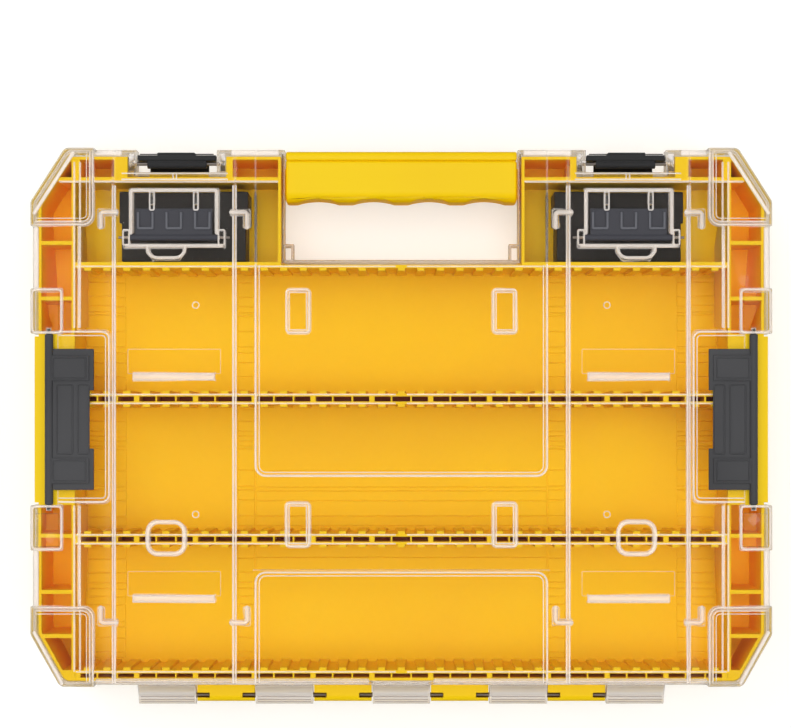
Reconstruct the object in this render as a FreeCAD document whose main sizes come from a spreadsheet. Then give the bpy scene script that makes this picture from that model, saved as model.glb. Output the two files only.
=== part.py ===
import FreeCAD, Part
import os
import re
import Sketcher

# Flat compartment case with a hinged clear lid. Millimetres, +Z up. The origin
# is under the middle of the whole case, on the surface it stands on. The handle
# and the latches are at -Y, the hinge at +Y, and the case is alike on both sides
# of the X = 0 plane.

doc = FreeCAD.newDocument("compartment_case")

# Driving sizes.
sizes = [
    # whole case
    ("case_width", 440),
    ("case_depth", 332.2),
    ("case_height", 80),
    ("front_corner_x", 20.3),
    ("front_corner_y", 31.9),
    ("rear_corner_x", 17.6),
    ("rear_corner_y", 31),
    ("corner_trim_x_share", 0.45),
    ("corner_trim_y_share", 0.71),
    ("corner_round", 5),
    ("overrun", 2),
    # base tray
    ("base_height", 72.5),
    ("base_wall", 1.8),
    ("base_floor", 2),
    ("foot_height", 8),
    ("foot_rim", 3),
    ("channel_width", 17.8),
    ("inner_wall", 2),
    ("row_end_depth", 74.7),
    ("row_mid_depth", 77.1),
    ("double_wall", 6.4),
    ("thin_wall", 1.7),
    ("rear_channel", 2.5),
    ("rib_pitch", 11.67),
    ("rib_reach", 1.6),
    ("rib_crest", 4.3),
    ("rib_foot", 6.3),
    ("web_wall", 1),
    ("web_pair_gap", 1.2),
    ("cross_wall", 2.4),
    ("deck_front", 55.8),
    ("deck_rear", 46),
    ("deck_plate", 2.5),
    ("flange_reach", 2.4),
    ("flange_depth", 6),
    ("flange_end_gap", 1.5),
    ("tower_front_wall", 2.4),
    ("tower_front_inset", 12.2),
    ("tower_rear_wall", 3.6),
    ("gap_width", 143.2),
    ("corner_pocket_reach", 10),
    ("small_pocket_width", 19.6),
    ("small_pocket_inset", 3),
    ("inner_pocket_width", 26.8),
    ("socket_width", 66),
    ("socket_depth", 30),
    # lid
    ("pad_proud", 0.9),
    ("skirt_wall", 1.8),
    ("skirt_bottom", 57),
    ("lid_plate", 2),
    ("seal_gap", 0.5),
    ("side_gap", 1.4),
    ("front_gap", 2.1),
    ("rear_gap", 0.5),
    ("gap_side_clearance", 0.5),
    ("gap_rear_clearance", 1),
    ("field_raise", 2.5),
    ("field_slope", 1.8),
    ("bay_inner", 99.4),
    ("bay_outer", 170.5),
    ("side_field_width", 21.8),
    ("panel_half_width", 85.4),
    ("panel_rear", 27.4),
    ("rear_panel_front", 87.3),
    ("pad_inner", 182.4),
    ("pad_round", 6),
    ("panel_round", 5.7),
    ("tab_line", 1.5),
    ("tab_width", 5.3),
    ("tab_depth", 9.4),
    ("front_pad_length", 46.2),
    ("rear_pad_length", 46.7),
    ("ridge_line", 2),
    ("ring_round", 2.6),
    ("ring_width", 14.8),
    ("ring_depth", 26.8),
    ("ring_outer", 68.8),
    ("front_ring_y", 69.2),
    ("rear_ring_y", 57.6),
    ("bar_width", 49),
    ("bar_depth", 4.6),
    ("front_bar_y", 30.3),
    ("rear_bar_y", 101.5),
    ("loop_width", 23.8),
    ("loop_depth", 21.1),
    ("loop_y", 65.5),
    ("loop_shift", 4.7),
    ("loop_round", 7.1),
    ("mark_line", 3.6),
    ("mark_length", 11.5),
    ("mark_lap", 2),
    ("mark_reach", 11),
    ("front_mark_y", 129.6),
    ("rear_mark_y", 106.5),
    # hinge
    ("knuckle_radius", 5.4),
    ("hinge_setback", 7.8),
    ("hinge_height", 52),
    ("hinge_pitch", 35.1),
    ("hinge_end_gap", 0.3),
    ("base_knuckle_radius", 3.8),
    ("hinge_pin_radius", 1.5),
    ("pin_clearance", 0.05),
    ("pin_window", 7.4),
    ("hinge_web", 9),
    # handle
    ("handle_front_inset", 1.4),
    ("handle_depth", 30.6),
    ("cover_depth", 5.5),
    ("handle_bottom", 40),
    ("handle_thickness", 30),
    ("handle_end_gap", 0.4),
    ("handle_round", 7),
    ("cover_round", 3),
    ("handle_wall", 3),
    ("handle_boss_depth", 18),
    ("handle_boss_gap", 1),
    ("finger_pitch", 33.3),
    ("finger_depth", 2.2),
    ("finger_radius", 38),
    # front latches
    ("latch_center", 133.6),
    ("latch_notch", 47.7),
    ("latch_width", 46.6),
    ("latch_body_width", 35.4),
    ("latch_grip_width", 22),
    ("latch_plate", 3.3),
    ("latch_grip", 1.2),
    ("latch_pivot_inset", 8.8),
    ("latch_pivot_drop", 10),
    ("latch_face_reach", 4.8),
    ("latch_barrel", 3),
    ("latch_head", 4),
    ("latch_drop", 24),
    ("latch_hook", 3.4),
    ("latch_hook_reach", 6.4),
    ("latch_pin_radius", 1.2),
    ("boss_width", 5),
    ("boss_depth", 9.4),
    ("boss_drop", 5),
    ("catch_gap", 0.4),
    ("catch_height", 3),
    ("catch_reach", 4.6),
    # side latches
    ("side_pivot_inset", 10.8),
    ("side_pivot_height", 77.1),
    ("side_barrel", 2.5),
    ("side_stub", 1.6),
    ("side_stub_length", 3.2),
    ("side_flap_reach", 26.6),
    ("side_flap_inset", 9),
    ("side_flap_plate", 2.2),
    ("side_flap_pad", 1.3),
    ("side_flap_lift", 0.4),
    ("side_notch_depth", 2.7),
    ("side_notch_length", 34.5),
    ("pivot_box_width", 18.5),
    ("pivot_box_depth", 26.8),
    ("side_cut_width", 14.5),
    ("recess_inner", 173),
    ("recess_margin", 1.8),
    ("recess_rear_trim", 1.4),
    ("recess_round", 3),
    ("side_pad_inset", 3.8),
    ("side_pad_length", 15.2),
    # stack catches
    ("stack_y", 112.9),
    ("stack_pivot_height", 77.5),
    ("stack_width", 45.6),
    ("stack_reach", 17.2),
    ("stack_plate", 1.8),
    ("stack_rim", 0.9),
    ("stack_barrel", 2),
    ("stack_pin_radius", 0.75),
    ("stack_pin_length", 66),
    ("stack_window", 10),
    ("stack_window_line", 1.5),
    ("stack_window_share", 0.25),
    ("frame_width", 53),
    ("frame_front", 29),
    ("frame_line", 2.1),
    ("frame_rib_share", 0.415),
    ("bail_width", 23.8),
    ("bail_depth", 7.6),
    ("ear_width", 3.6),
    ("ear_depth", 8),
    # socket covers
    ("cover_center", 130.8),
    ("cover_top", 52),
    ("cover_width", 77.6),
    ("cover_length", 42.2),
    ("cover_wall", 2),
    ("cover_shoulder", 1.4),
    ("cover_shoulder_length", 19),
    ("cover_clearance", 1.3),
]

# Places worked out from them.
places = [
    ("base_inset", "pad_proud + skirt_wall + side_gap"),
    ("base_half", "case_width / 2 - base_inset"),
    ("hinge_y", "case_depth / 2 - knuckle_radius"),
    ("case_front", "-case_depth / 2"),
    ("lid_half", "case_width / 2 - pad_proud"),
    ("lid_front", "case_front + pad_proud"),
    ("lid_rear", "hinge_y - hinge_setback"),
    ("base_front", "lid_front + skirt_wall + front_gap"),
    ("base_rear", "lid_rear - skirt_wall - rear_gap"),
    ("floor_top", "foot_height + base_floor"),
    ("row_half", "base_half - base_wall - channel_width - inner_wall"),
    ("row_3_rear", "base_rear - base_wall - rear_channel - inner_wall"),
    ("row_3_front", "row_3_rear - row_end_depth"),
    ("row_2_rear", "row_3_front - double_wall"),
    ("row_2_front", "row_2_rear - row_mid_depth"),
    ("row_1_rear", "row_2_front - double_wall"),
    ("row_1_front", "row_1_rear - row_end_depth"),
    ("gap_half", "gap_width / 2"),
    ("gap_rear", "row_1_front - inner_wall"),
    ("tower_front", "base_front + tower_front_inset + tower_front_wall"),
    ("tower_rear", "row_1_front - tower_rear_wall"),
    ("channel_inner", "row_half + inner_wall"),
    ("channel_outer", "base_half - base_wall"),
    ("boss_span", "latch_notch + 2 * boss_width"),
    ("recess_half", "boss_span / 2 + gap_side_clearance"),
    ("recess_rear", "base_front + tower_front_inset"),
    ("low_under", "base_height + seal_gap"),
    ("low_top", "low_under + lid_plate"),
    ("field_top", "low_top + field_raise"),
    ("field_under", "field_top - lid_plate"),
    ("lid_gap_half", "gap_half - gap_side_clearance - skirt_wall"),
    ("lid_gap_rear", "gap_rear - gap_rear_clearance - skirt_wall"),
    ("notch_rear", "recess_rear - gap_rear_clearance - skirt_wall"),
    ("latch_pivot_y", "case_front + latch_pivot_inset"),
    ("latch_pivot_z", "case_height - latch_pivot_drop"),
    ("hook_top", "latch_pivot_z - latch_drop + latch_hook"),
    ("catch_under", "hook_top + catch_gap"),
    ("side_pivot_x", "case_width / 2 - side_pivot_inset"),
    ("recess_front_y", "-deck_front - recess_margin"),
    ("recess_rear_y", "deck_rear - recess_rear_trim"),
    ("side_cut_inner", "lid_half - side_cut_width"),
    ("front_pivot_box", "-deck_front - pivot_box_depth"),
    ("handle_front", "case_front + handle_front_inset"),
    ("seam_y", "handle_front + cover_depth"),
    ("handle_rear", "handle_front + handle_depth"),
    ("handle_half", "lid_gap_half - handle_end_gap"),
    ("handle_top", "handle_bottom + handle_thickness"),
    ("handle_mid_y", "(seam_y + handle_rear) / 2"),
    ("cover_rear_y", "tower_rear - cover_clearance"),
    ("cover_front_y", "cover_rear_y - cover_length"),
    ("bay_center", "(bay_inner + bay_outer) / 2"),
    ("loop_x", "bay_center + loop_shift"),
]

size_names = [name for name, number in sizes]
place_names = [name for name, formula in places]


# Puts the sheet's name before each size and place in an expression.
def full(text, own=""):
    def owned(found):
        word = found.group()
        if word in size_names:
            return "Sizes." + word
        if word in place_names and own != "Places":
            return "Places." + word
        return word

    return re.sub(r"[a-z]\w*", owned, str(text))


size_sheet = doc.addObject("Spreadsheet::Sheet", "Sizes")
for row, (name, number) in enumerate(sizes, 1):
    size_sheet.set("A%d" % row, name)
    size_sheet.set("B%d" % row, str(number))
    size_sheet.setAlias("B%d" % row, name)
doc.recompute()

place_sheet = doc.addObject("Spreadsheet::Sheet", "Places")
for row, (name, formula) in enumerate(places, 1):
    place_sheet.set("A%d" % row, name)
    place_sheet.set("B%d" % row, "=" + full(formula, "Places"))
    place_sheet.setAlias("B%d" % row, name)
doc.recompute()


def number(name):
    sheet = size_sheet if name in size_names else place_sheet
    return float(getattr(sheet, name))


def bind(thing, **expressions):
    for prop, text in expressions.items():
        thing.setExpression(prop.replace("_at_", ".Base."), full(text))


# A block between two places on each axis.
def block(name, x, y, z):
    made = doc.addObject("Part::Box", name)
    bind(
        made,
        Length="(%s) - (%s)" % (x[1], x[0]),
        Width="(%s) - (%s)" % (y[1], y[0]),
        Height="(%s) - (%s)" % (z[1], z[0]),
        Placement_at_x=x[0],
        Placement_at_y=y[0],
        Placement_at_z=z[0],
    )
    return made


# A block with some of its upright edges rounded. The edges are named by the ends
# of the two spans that they stand at: 00, 01, 10 or 11.
upright = {"00": 1, "01": 3, "10": 5, "11": 7}


def softened(name, x, y, z, radius, corners):
    inside = block(name + "_block", x, y, z)
    made = doc.addObject("Part::Fillet", name)
    made.Base = inside
    made.Edges = [(upright[corner], radius, radius) for corner in corners]
    return made


# A block whose sides slope: the slope takes this much off each side by the top,
# or off the bottom where it is negative.
def sloped(name, x, y, z, slope):
    made = doc.addObject("Part::Wedge", name)
    made.Placement.Rotation = FreeCAD.Rotation(FreeCAD.Vector(1, 0, 0), 90)
    bind(
        made,
        Xmin="0",
        Xmax="(%s) - (%s)" % (x[1], x[0]),
        Zmin="0",
        Zmax="(%s) - (%s)" % (y[1], y[0]),
        Ymin="0",
        Ymax="(%s) - (%s)" % (z[1], z[0]),
        X2min=slope,
        X2max="(%s) - (%s) - (%s)" % (x[1], x[0], slope),
        Z2min=slope,
        Z2max="(%s) - (%s) - (%s)" % (y[1], y[0], slope),
        Placement_at_x=x[0],
        Placement_at_y=y[1],
        Placement_at_z=z[0],
    )
    return made


turns = {
    "x": FreeCAD.Rotation(FreeCAD.Vector(0, 1, 0), 90),
    "y": FreeCAD.Rotation(FreeCAD.Vector(1, 0, 0), -90),
    "z": FreeCAD.Rotation(),
}


# A rod from one place, along X, Y or Z.
def rod(name, along, radius, length, x, y, z):
    made = doc.addObject("Part::Cylinder", name)
    made.Placement.Rotation = turns[along]
    bind(
        made,
        Radius=radius,
        Height=length,
        Placement_at_x=x,
        Placement_at_y=y,
        Placement_at_z=z,
    )
    return made


# A body padded from a drawn outline. The points are pairs of expressions, on the
# XY plane or, for a profile that runs along X, on the YZ plane.
def outlined(name, plane, points, start, length, corner=None):
    body = doc.addObject("PartDesign::Body", name)
    drawing = body.newObject("Sketcher::SketchObject", name + "_outline")
    origin = body.Origin.OriginFeatures
    drawing.AttachmentSupport = [(next(f for f in origin if f.Role == plane), "")]
    drawing.MapMode = "FlatFace"
    drawing.recompute()
    rough = doc.addObject("Spreadsheet::Sheet", name + "_points")
    for row, (u, v) in enumerate(points, 1):
        rough.set("A%d" % row, "=" + full(u))
        rough.set("B%d" % row, "=" + full(v))
    rough.recompute()
    at = [
        (float(rough.get("A%d" % row)), float(rough.get("B%d" % row)))
        for row in range(1, len(points) + 1)
    ]
    doc.removeObject(rough.Name)
    last = len(points)
    for i in range(last):
        a = FreeCAD.Vector(at[i][0], at[i][1], 0)
        b = FreeCAD.Vector(at[(i + 1) % last][0], at[(i + 1) % last][1], 0)
        drawing.addGeometry(Part.LineSegment(a, b), False)
    for i in range(last):
        drawing.addConstraint(
            Sketcher.Constraint("Coincident", i, 2, (i + 1) % last, 1)
        )
    for i in range(last):
        for kind, text, start_value in zip(
            ("DistanceX", "DistanceY"), points[i], at[i]
        ):
            index = drawing.addConstraint(
                Sketcher.Constraint(kind, -1, 1, i, 1, start_value)
            )
            drawing.setExpression("Constraints[%d]" % index, full(text))
    pad = body.newObject("PartDesign::Pad", name + "_pad")
    pad.Profile = drawing
    bind(pad, Length=length)
    axis = "z" if plane == "XY_Plane" else "x"
    bind(body, **{"Placement_at_" + axis: start})
    doc.recompute()
    if corner:
        edges = [
            "Edge%d" % (i + 1)
            for i, edge in enumerate(pad.Shape.Edges)
            if abs(edge.tangentAt(edge.FirstParameter).z) > 1 - 1e-6
        ]
        fillet = body.newObject("PartDesign::Fillet", name + "_corners")
        fillet.Base = (pad, edges)
        bind(fillet, Radius=corner)
        doc.recompute()
    return body


def together(name, kind, prop, things):
    made = doc.addObject(kind, name)
    setattr(made, prop, things)
    for thing in things:
        thing.Visibility = False
    return made


def fused(name, things):
    made = together(name, "Part::MultiFuse", "Shapes", things)
    made.Refine = True
    return made


def shared(name, things):
    return together(name, "Part::MultiCommon", "Shapes", things)


def grouped(name, things):
    return together(name, "Part::Compound", "Links", things)


def less(name, whole, taken):
    made = doc.addObject("Part::Cut", name)
    made.Base = whole
    made.Tool = taken
    made.Refine = True
    return made


def mirrored(name, thing):
    made = doc.addObject("Part::Mirroring", name)
    made.Source = thing
    made.Normal = (1, 0, 0)
    made.Base = (0, 0, 0)
    return made


# The same pieces on both sides of the case.
def both(name, things):
    side = fused(name + "_near", things) if len(things) > 1 else things[0]
    return grouped(name, [side, mirrored(name + "_far", side)])


nodes = []


def finished(thing, label):
    doc.recompute()
    thing.Label = label
    nodes.append(thing)
    return thing


# Outline of the case with its four cut-off corners, drawn in by an inset.
def case_outline(name, half, front, rear, inset, z):
    fx = "(front_corner_x - corner_trim_x_share * (%s))" % inset
    fy = "(front_corner_y - corner_trim_y_share * (%s))" % inset
    rx = "(rear_corner_x - corner_trim_x_share * (%s))" % inset
    ry = "(rear_corner_y - corner_trim_y_share * (%s))" % inset
    points = [
        ("-(%s)" % half, "%s + %s" % (front, fy)),
        ("-(%s) + %s" % (half, fx), front),
        ("%s - %s" % (half, fx), front),
        (half, "%s + %s" % (front, fy)),
        (half, "%s - %s" % (rear, ry)),
        ("%s - %s" % (half, rx), rear),
        ("-(%s) + %s" % (half, rx), rear),
        ("-(%s)" % half, "%s - %s" % (rear, ry)),
    ]
    return outlined(
        name, "XY_Plane", points, z[0], "(%s) - (%s)" % (z[1], z[0]), "corner_round"
    )


# Base tray. Its outer block comes first, then everything that is hollow in it.
tray_block = case_outline(
    "tray_block",
    "base_half",
    "base_front",
    "base_rear",
    "base_inset",
    ("0", "base_height"),
)
hand_gap = block(
    "hand_gap",
    ("-gap_half", "gap_half"),
    ("base_front - overrun", "gap_rear"),
    ("-overrun", "base_height + overrun"),
)
latch_recess = block(
    "latch_recess",
    ("latch_center - recess_half", "latch_center + recess_half"),
    ("base_front - overrun", "recess_rear"),
    ("-overrun", "base_height + overrun"),
)

# Each row's hollow has ribs down both long walls, wider at the floor. Dividers
# slide in between them.
pitch = number("rib_pitch")
rib_count = int((number("row_half") - number("rib_foot") / 2) // pitch)
row_names = ("row_1", "row_2", "row_3")


def row_wire(front, rear, rib, height):
    half = number("row_half")
    reach = number("rib_reach")
    centers = [n * pitch for n in range(-rib_count, rib_count + 1)]
    points = [(-half, front)]
    for c in centers:
        points += [(c - rib / 2, front), (c - rib / 2, front + reach)]
        points += [(c + rib / 2, front + reach), (c + rib / 2, front)]
    points += [(half, front), (half, rear)]
    for c in reversed(centers):
        points += [(c + rib / 2, rear), (c + rib / 2, rear - reach)]
        points += [(c - rib / 2, rear - reach), (c - rib / 2, rear)]
    points += [(-half, rear), (-half, front)]
    return Part.makePolygon([FreeCAD.Vector(x, y, height) for x, y in points])


row_hollows = []
for row_name in row_names:
    front = number(row_name + "_front")
    rear = number(row_name + "_rear")
    top = number("base_height") + number("overrun")
    low = row_wire(front, rear, number("rib_foot"), number("floor_top"))
    high = row_wire(front, rear, number("rib_crest"), top)
    hollow = doc.addObject("Part::Feature", row_name + "_hollow")
    hollow.Shape = Part.makeLoft([low, high], True, True)
    row_hollows.append(hollow)

# Cells in the double walls and behind row 3, between webs half a pitch off the
# ribs. Every third web is a pair.
web = number("web_wall") / 2
pair = number("web_pair_gap") / 2 + number("web_wall")
cell_ends = []
n = 0
while (n + 0.5) * pitch + pair < number("row_half"):
    center = (n + 0.5) * pitch
    reach = pair if n % 3 == 1 else web
    cell_ends.append((center - reach, center + reach))
    n += 1
cell_spans = [(-cell_ends[0][0], cell_ends[0][0])]
for (a, b), (c, d) in zip(cell_ends, cell_ends[1:]):
    cell_spans += [(b, c), (-c, -b)]
cell_spans.append((cell_ends[-1][1], number("row_half")))
cell_spans.append((-number("row_half"), -cell_ends[-1][1]))
slots = [
    ("row_1_rear", "row_2_front", "thin_wall"),
    ("row_2_rear", "row_3_front", "thin_wall"),
    ("row_3_rear", "base_rear", "inner_wall"),
]
cells = []
for front, rear, wall in slots:
    y0 = number(front) + number(wall)
    y1 = number(rear) - (number("base_wall") if wall == "inner_wall" else number(wall))
    for x0, x1 in cell_spans:
        cells.append(
            Part.makeBox(
                x1 - x0,
                y1 - y0,
                number("base_height") + number("overrun") - number("floor_top"),
                FreeCAD.Vector(x0, y0, number("floor_top")),
            )
        )
wall_cells = doc.addObject("Part::Feature", "wall_cells")
wall_cells.Shape = Part.makeCompound(cells)

tower_hollow = block(
    "tower_hollow",
    ("gap_half + base_wall", "row_half"),
    ("tower_front", "tower_rear"),
    ("floor_top", "base_height + overrun"),
)
socket_hole = block(
    "socket_hole",
    ("cover_center - socket_width / 2", "cover_center + socket_width / 2"),
    (
        "(cover_front_y + cover_rear_y - socket_depth) / 2",
        "(cover_front_y + cover_rear_y + socket_depth) / 2",
    ),
    ("-overrun", "floor_top + overrun"),
)
front_pockets = [
    (
        "gap_half + base_wall",
        "gap_half + base_wall + inner_pocket_width",
    ),
    (
        "row_half - small_pocket_inset - small_pocket_width",
        "row_half - small_pocket_inset",
    ),
    ("channel_inner", "channel_inner + corner_pocket_reach"),
]
pockets = []
for i, span in enumerate(front_pockets):
    pockets.append(
        block(
            "front_pocket_%d" % (i + 1),
            span,
            ("base_front", "recess_rear"),
            ("floor_top", "base_height + overrun"),
        )
    )

# Side channels, between cross walls at these shares of the length before and
# behind the deck under the side latch.
front_cross_shares = [0, 0.404, 0.768, 1]
rear_cross_shares = [0, 0.188, 0.527, 0.794, 1]
channel_bands = []
for shares, start, end in (
    (front_cross_shares, "tower_front", "-deck_front"),
    (rear_cross_shares, "deck_rear", "row_3_rear"),
):
    for k, (a, b) in enumerate(zip(shares, shares[1:])):
        near = "%s + ((%s) - (%s)) * %s" % (start, end, start, a)
        away = "%s + ((%s) - (%s)) * %s" % (start, end, start, b)
        if k:
            near += " + cross_wall / 2"
        if k < len(shares) - 2:
            away += " - cross_wall / 2"
        channel_bands.append((near, away))
for i, band in enumerate(channel_bands):
    pockets.append(
        block(
            "channel_%d" % (i + 1),
            ("channel_inner", "channel_outer"),
            band,
            ("floor_top", "base_height + overrun"),
        )
    )
pocket_pair = both("pockets", pockets)
inset_block = case_outline(
    "inset_block",
    "base_half - base_wall",
    "base_front + base_wall",
    "base_rear - base_wall",
    "base_inset + base_wall",
    ("0", "base_height + 2 * overrun"),
)
trimmed_pockets = shared("trimmed_pockets", [pocket_pair, inset_block])

# Under the floor the tray is open, and it stands on the rims between.
under_hollows = []
for row_name in row_names:
    under_hollows.append(
        block(
            row_name + "_under",
            ("foot_rim / 2", "row_half - foot_rim"),
            (row_name + "_front + foot_rim", row_name + "_rear - foot_rim"),
            ("-overrun", "foot_height"),
        )
    )
under_hollows.append(
    block(
        "tower_under",
        ("gap_half + base_wall + foot_rim", "row_half - foot_rim"),
        ("tower_front + foot_rim", "tower_rear - foot_rim"),
        ("-overrun", "foot_height"),
    )
)
under_hollows.append(
    block(
        "deck_under",
        ("channel_inner", "channel_outer"),
        ("-deck_front + cross_wall", "deck_rear - cross_wall"),
        ("-overrun", "base_height - deck_plate"),
    )
)
hollow_side = both(
    "tray_side_hollows", [latch_recess, tower_hollow, socket_hole] + under_hollows
)
tray_hollows = grouped(
    "tray_hollows", [hand_gap, hollow_side, trimmed_pockets, wall_cells] + row_hollows
)
hollow_tray = less("hollow_tray", tray_block, tray_hollows)

# Flange that the side latch of a case below grips, the ledge that the front
# latch hooks under, and the web behind the latch.
flange = block(
    "flange",
    ("base_half - base_wall", "base_half + flange_reach"),
    ("-deck_front + flange_end_gap", "deck_rear - flange_end_gap"),
    ("base_height - flange_depth", "base_height"),
)
ledge = block(
    "ledge",
    (
        "latch_center - latch_body_width / 2",
        "latch_center + latch_body_width / 2",
    ),
    ("recess_rear - catch_reach", "recess_rear + tower_front_wall / 2"),
    ("catch_under", "catch_under + catch_height"),
)

# The tray's share of the hinge: four barrels on brackets, bored for the pins,
# with a window over each pin's end.
bracket_profile = [
    ("base_rear - base_wall / 2", "hinge_height - 3 * base_knuckle_radius"),
    ("hinge_y", "hinge_height - base_knuckle_radius"),
    ("hinge_y", "hinge_height + base_knuckle_radius"),
    ("base_rear - base_wall / 2", "hinge_height + base_knuckle_radius"),
]
brackets = []
bores = []
for i in (1, 3):
    start = "hinge_pitch * %d / 2 + hinge_end_gap" % i
    if i == 3:
        start = "hinge_pitch * 5 / 2 + hinge_end_gap"
    length = "hinge_pitch - 2 * hinge_end_gap"
    brackets.append(
        outlined("bracket_%d" % i, "YZ_Plane", bracket_profile, start, length)
    )
    brackets.append(
        rod(
            "bracket_%d_barrel" % i,
            "x",
            "base_knuckle_radius",
            length,
            start,
            "hinge_y",
            "hinge_height",
        )
    )
    for end, place in enumerate(
        (start, "%s + %s - pin_window - pin_clearance" % (start, length))
    ):
        bores.append(
            rod(
                "bracket_%d_bore_%d" % (i, end),
                "x",
                "hinge_pin_radius + pin_clearance",
                "pin_window + pin_clearance",
                place,
                "hinge_y",
                "hinge_height",
            )
        )
        bores.append(
            block(
                "bracket_%d_window_%d" % (i, end),
                (place, "%s + pin_window + pin_clearance" % place),
                ("hinge_y - hinge_pin_radius", "hinge_y + hinge_pin_radius"),
                ("hinge_height", "hinge_height + base_knuckle_radius + overrun"),
            )
        )
added = both("tray_additions", [flange, ledge] + brackets)
full_tray = fused("full_tray", [hollow_tray, added])
base_tray = less("tray", full_tray, both("hinge_bores", bores))
finished(base_tray, "base_tray")

# Handle: a hollow grip with finger scallops on the hand's side, closed by a
# cover along the front. Its two end bosses butt against the tray's towers.
grip_block = block(
    "grip_block",
    ("-handle_half", "handle_half"),
    ("seam_y", "handle_rear"),
    ("handle_bottom", "handle_top"),
)
doc.recompute()


def lengthwise(shape, y, heights):
    found = []
    for i, edge in enumerate(shape.Edges, 1):
        a, b = edge.Vertexes[0].Point, edge.Vertexes[-1].Point
        if abs(a.y - y) > 1e-3 or abs(b.y - y) > 1e-3 or abs(a.z - b.z) > 1e-3:
            continue
        if min(abs(a.z - height) for height in heights) < 1e-3:
            found.append(i)
    return found


def rounded(name, thing, y, radius):
    heights = (number("handle_bottom"), number("handle_top"))
    made = doc.addObject("Part::Fillet", name)
    made.Base = thing
    edges = lengthwise(thing.Shape, number(y), heights)
    made.Edges = [(i, number(radius), number(radius)) for i in edges]
    return made


grip_round = rounded("grip_round", grip_block, "handle_rear", "handle_round")
grip_cavity = block(
    "grip_cavity",
    ("-handle_half + handle_wall", "handle_half - handle_wall"),
    ("seam_y - overrun", "handle_rear - handle_wall - finger_depth"),
    ("handle_bottom + handle_wall", "handle_top - handle_wall"),
)
finger_shares = [-1.5, -0.5, 0.5, 1.5]
scallops = [
    rod(
        "scallop_%d" % i,
        "z",
        "finger_radius",
        "handle_thickness + 2 * overrun",
        "finger_pitch * %s" % share,
        "handle_rear + finger_radius - finger_depth",
        "handle_bottom - overrun",
    )
    for i, share in enumerate(finger_shares)
]
grip_bosses = both(
    "grip_bosses",
    [
        block(
            "grip_boss",
            ("handle_half - handle_wall", "gap_half"),
            (
                "handle_mid_y - handle_boss_depth / 2",
                "handle_mid_y + handle_boss_depth / 2",
            ),
            (
                "handle_bottom + handle_boss_gap",
                "skirt_bottom - handle_boss_gap",
            ),
        )
    ],
)
grip_cut = less("grip_cut", grip_round, grouped("grip_cuts", [grip_cavity] + scallops))
handle_grip = fused("grip", [grip_cut, grip_bosses])
finished(handle_grip, "handle_grip")

cover_block = block(
    "cover_block",
    ("-handle_half", "handle_half"),
    ("handle_front", "seam_y"),
    ("handle_bottom", "handle_top"),
)
doc.recompute()
handle_cover = rounded("grip_cover", cover_block, "handle_front", "cover_round")
finished(handle_cover, "handle_cover")


# The covers over the stacking sockets, open below, one in each tower.
def socket_cover():
    low = block(
        "socket_cover_low",
        (
            "cover_center - cover_width / 2 + cover_shoulder",
            "cover_center + cover_width / 2 - cover_shoulder",
        ),
        ("cover_front_y", "cover_rear_y"),
        ("floor_top", "cover_top"),
    )
    wide = block(
        "socket_cover_wide",
        ("cover_center - cover_width / 2", "cover_center + cover_width / 2"),
        ("cover_front_y", "cover_front_y + cover_shoulder_length"),
        ("floor_top", "cover_top"),
    )
    inside = block(
        "socket_cover_inside",
        (
            "cover_center - cover_width / 2 + cover_shoulder + cover_wall",
            "cover_center + cover_width / 2 - cover_shoulder - cover_wall",
        ),
        ("cover_front_y + cover_wall", "cover_rear_y - cover_wall"),
        ("floor_top - overrun", "cover_top - cover_wall"),
    )
    return less("socket_cover", fused("socket_cover_block", [low, wide]), inside)


near_cover = socket_cover()
finished(near_cover, "socket_cover_right")
finished(mirrored("socket_cover_far", near_cover), "socket_cover_left")

# Lid. The clear shell first: a plate with a skirt down the outside, and skirts
# round the hand gap and the latch notches.
lid_block = case_outline(
    "lid_block",
    "lid_half",
    "lid_front",
    "lid_rear",
    "pad_proud",
    ("skirt_bottom", "low_top"),
)
pad_block = case_outline(
    "pad_block",
    "case_width / 2",
    "case_front",
    "lid_rear + pad_proud",
    "0",
    ("skirt_bottom", "case_height"),
)
pad_zones = both(
    "pad_zones",
    [
        softened(
            "front_pad_zone",
            ("pad_inner", "case_width"),
            ("case_front - overrun", "case_front + front_pad_length"),
            ("skirt_bottom - overrun", "case_height + overrun"),
            number("pad_round"),
            ["01"],
        ),
        softened(
            "rear_pad_zone",
            ("pad_inner", "case_width"),
            ("lid_rear - rear_pad_length", "lid_rear + 2 * overrun"),
            ("skirt_bottom - overrun", "case_height + overrun"),
            number("pad_round"),
            ["00"],
        ),
    ],
)
corner_pads = shared("corner_pads", [pad_block, pad_zones])

# Raised fields, each with sloped sides: one down the middle and one on each side.
middle_field = sloped(
    "middle_field",
    ("-bay_inner - field_slope / 2", "bay_inner + field_slope / 2"),
    ("lid_front", "lid_rear"),
    ("low_top", "field_top"),
    "field_slope",
)
side_field = sloped(
    "side_field",
    ("bay_outer - field_slope / 2", "bay_outer + side_field_width + field_slope / 2"),
    ("lid_front", "lid_rear"),
    ("low_top", "field_top"),
    "field_slope",
)


# Ridges that stand up to the full height from the plate below them.
def ridge(name, x, y):
    return block(name, x, y, ("low_under", "case_height"))


every_corner = ["00", "01", "10", "11"]


def ring(name, x, y, z, round_name, line):
    outer = softened(name + "_outer", x, y, z, number(round_name), every_corner)
    inner = softened(
        name + "_inner",
        ("%s + %s" % (x[0], line), "%s - %s" % (x[1], line)),
        ("%s + %s" % (y[0], line), "%s - %s" % (y[1], line)),
        ("low_top", "case_height + overrun"),
        number(round_name) - number(line),
        every_corner,
    )
    return less(name, outer, inner)


def around(center, width):
    return ("%s - %s / 2" % (center, width), "%s + %s / 2" % (center, width))


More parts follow.
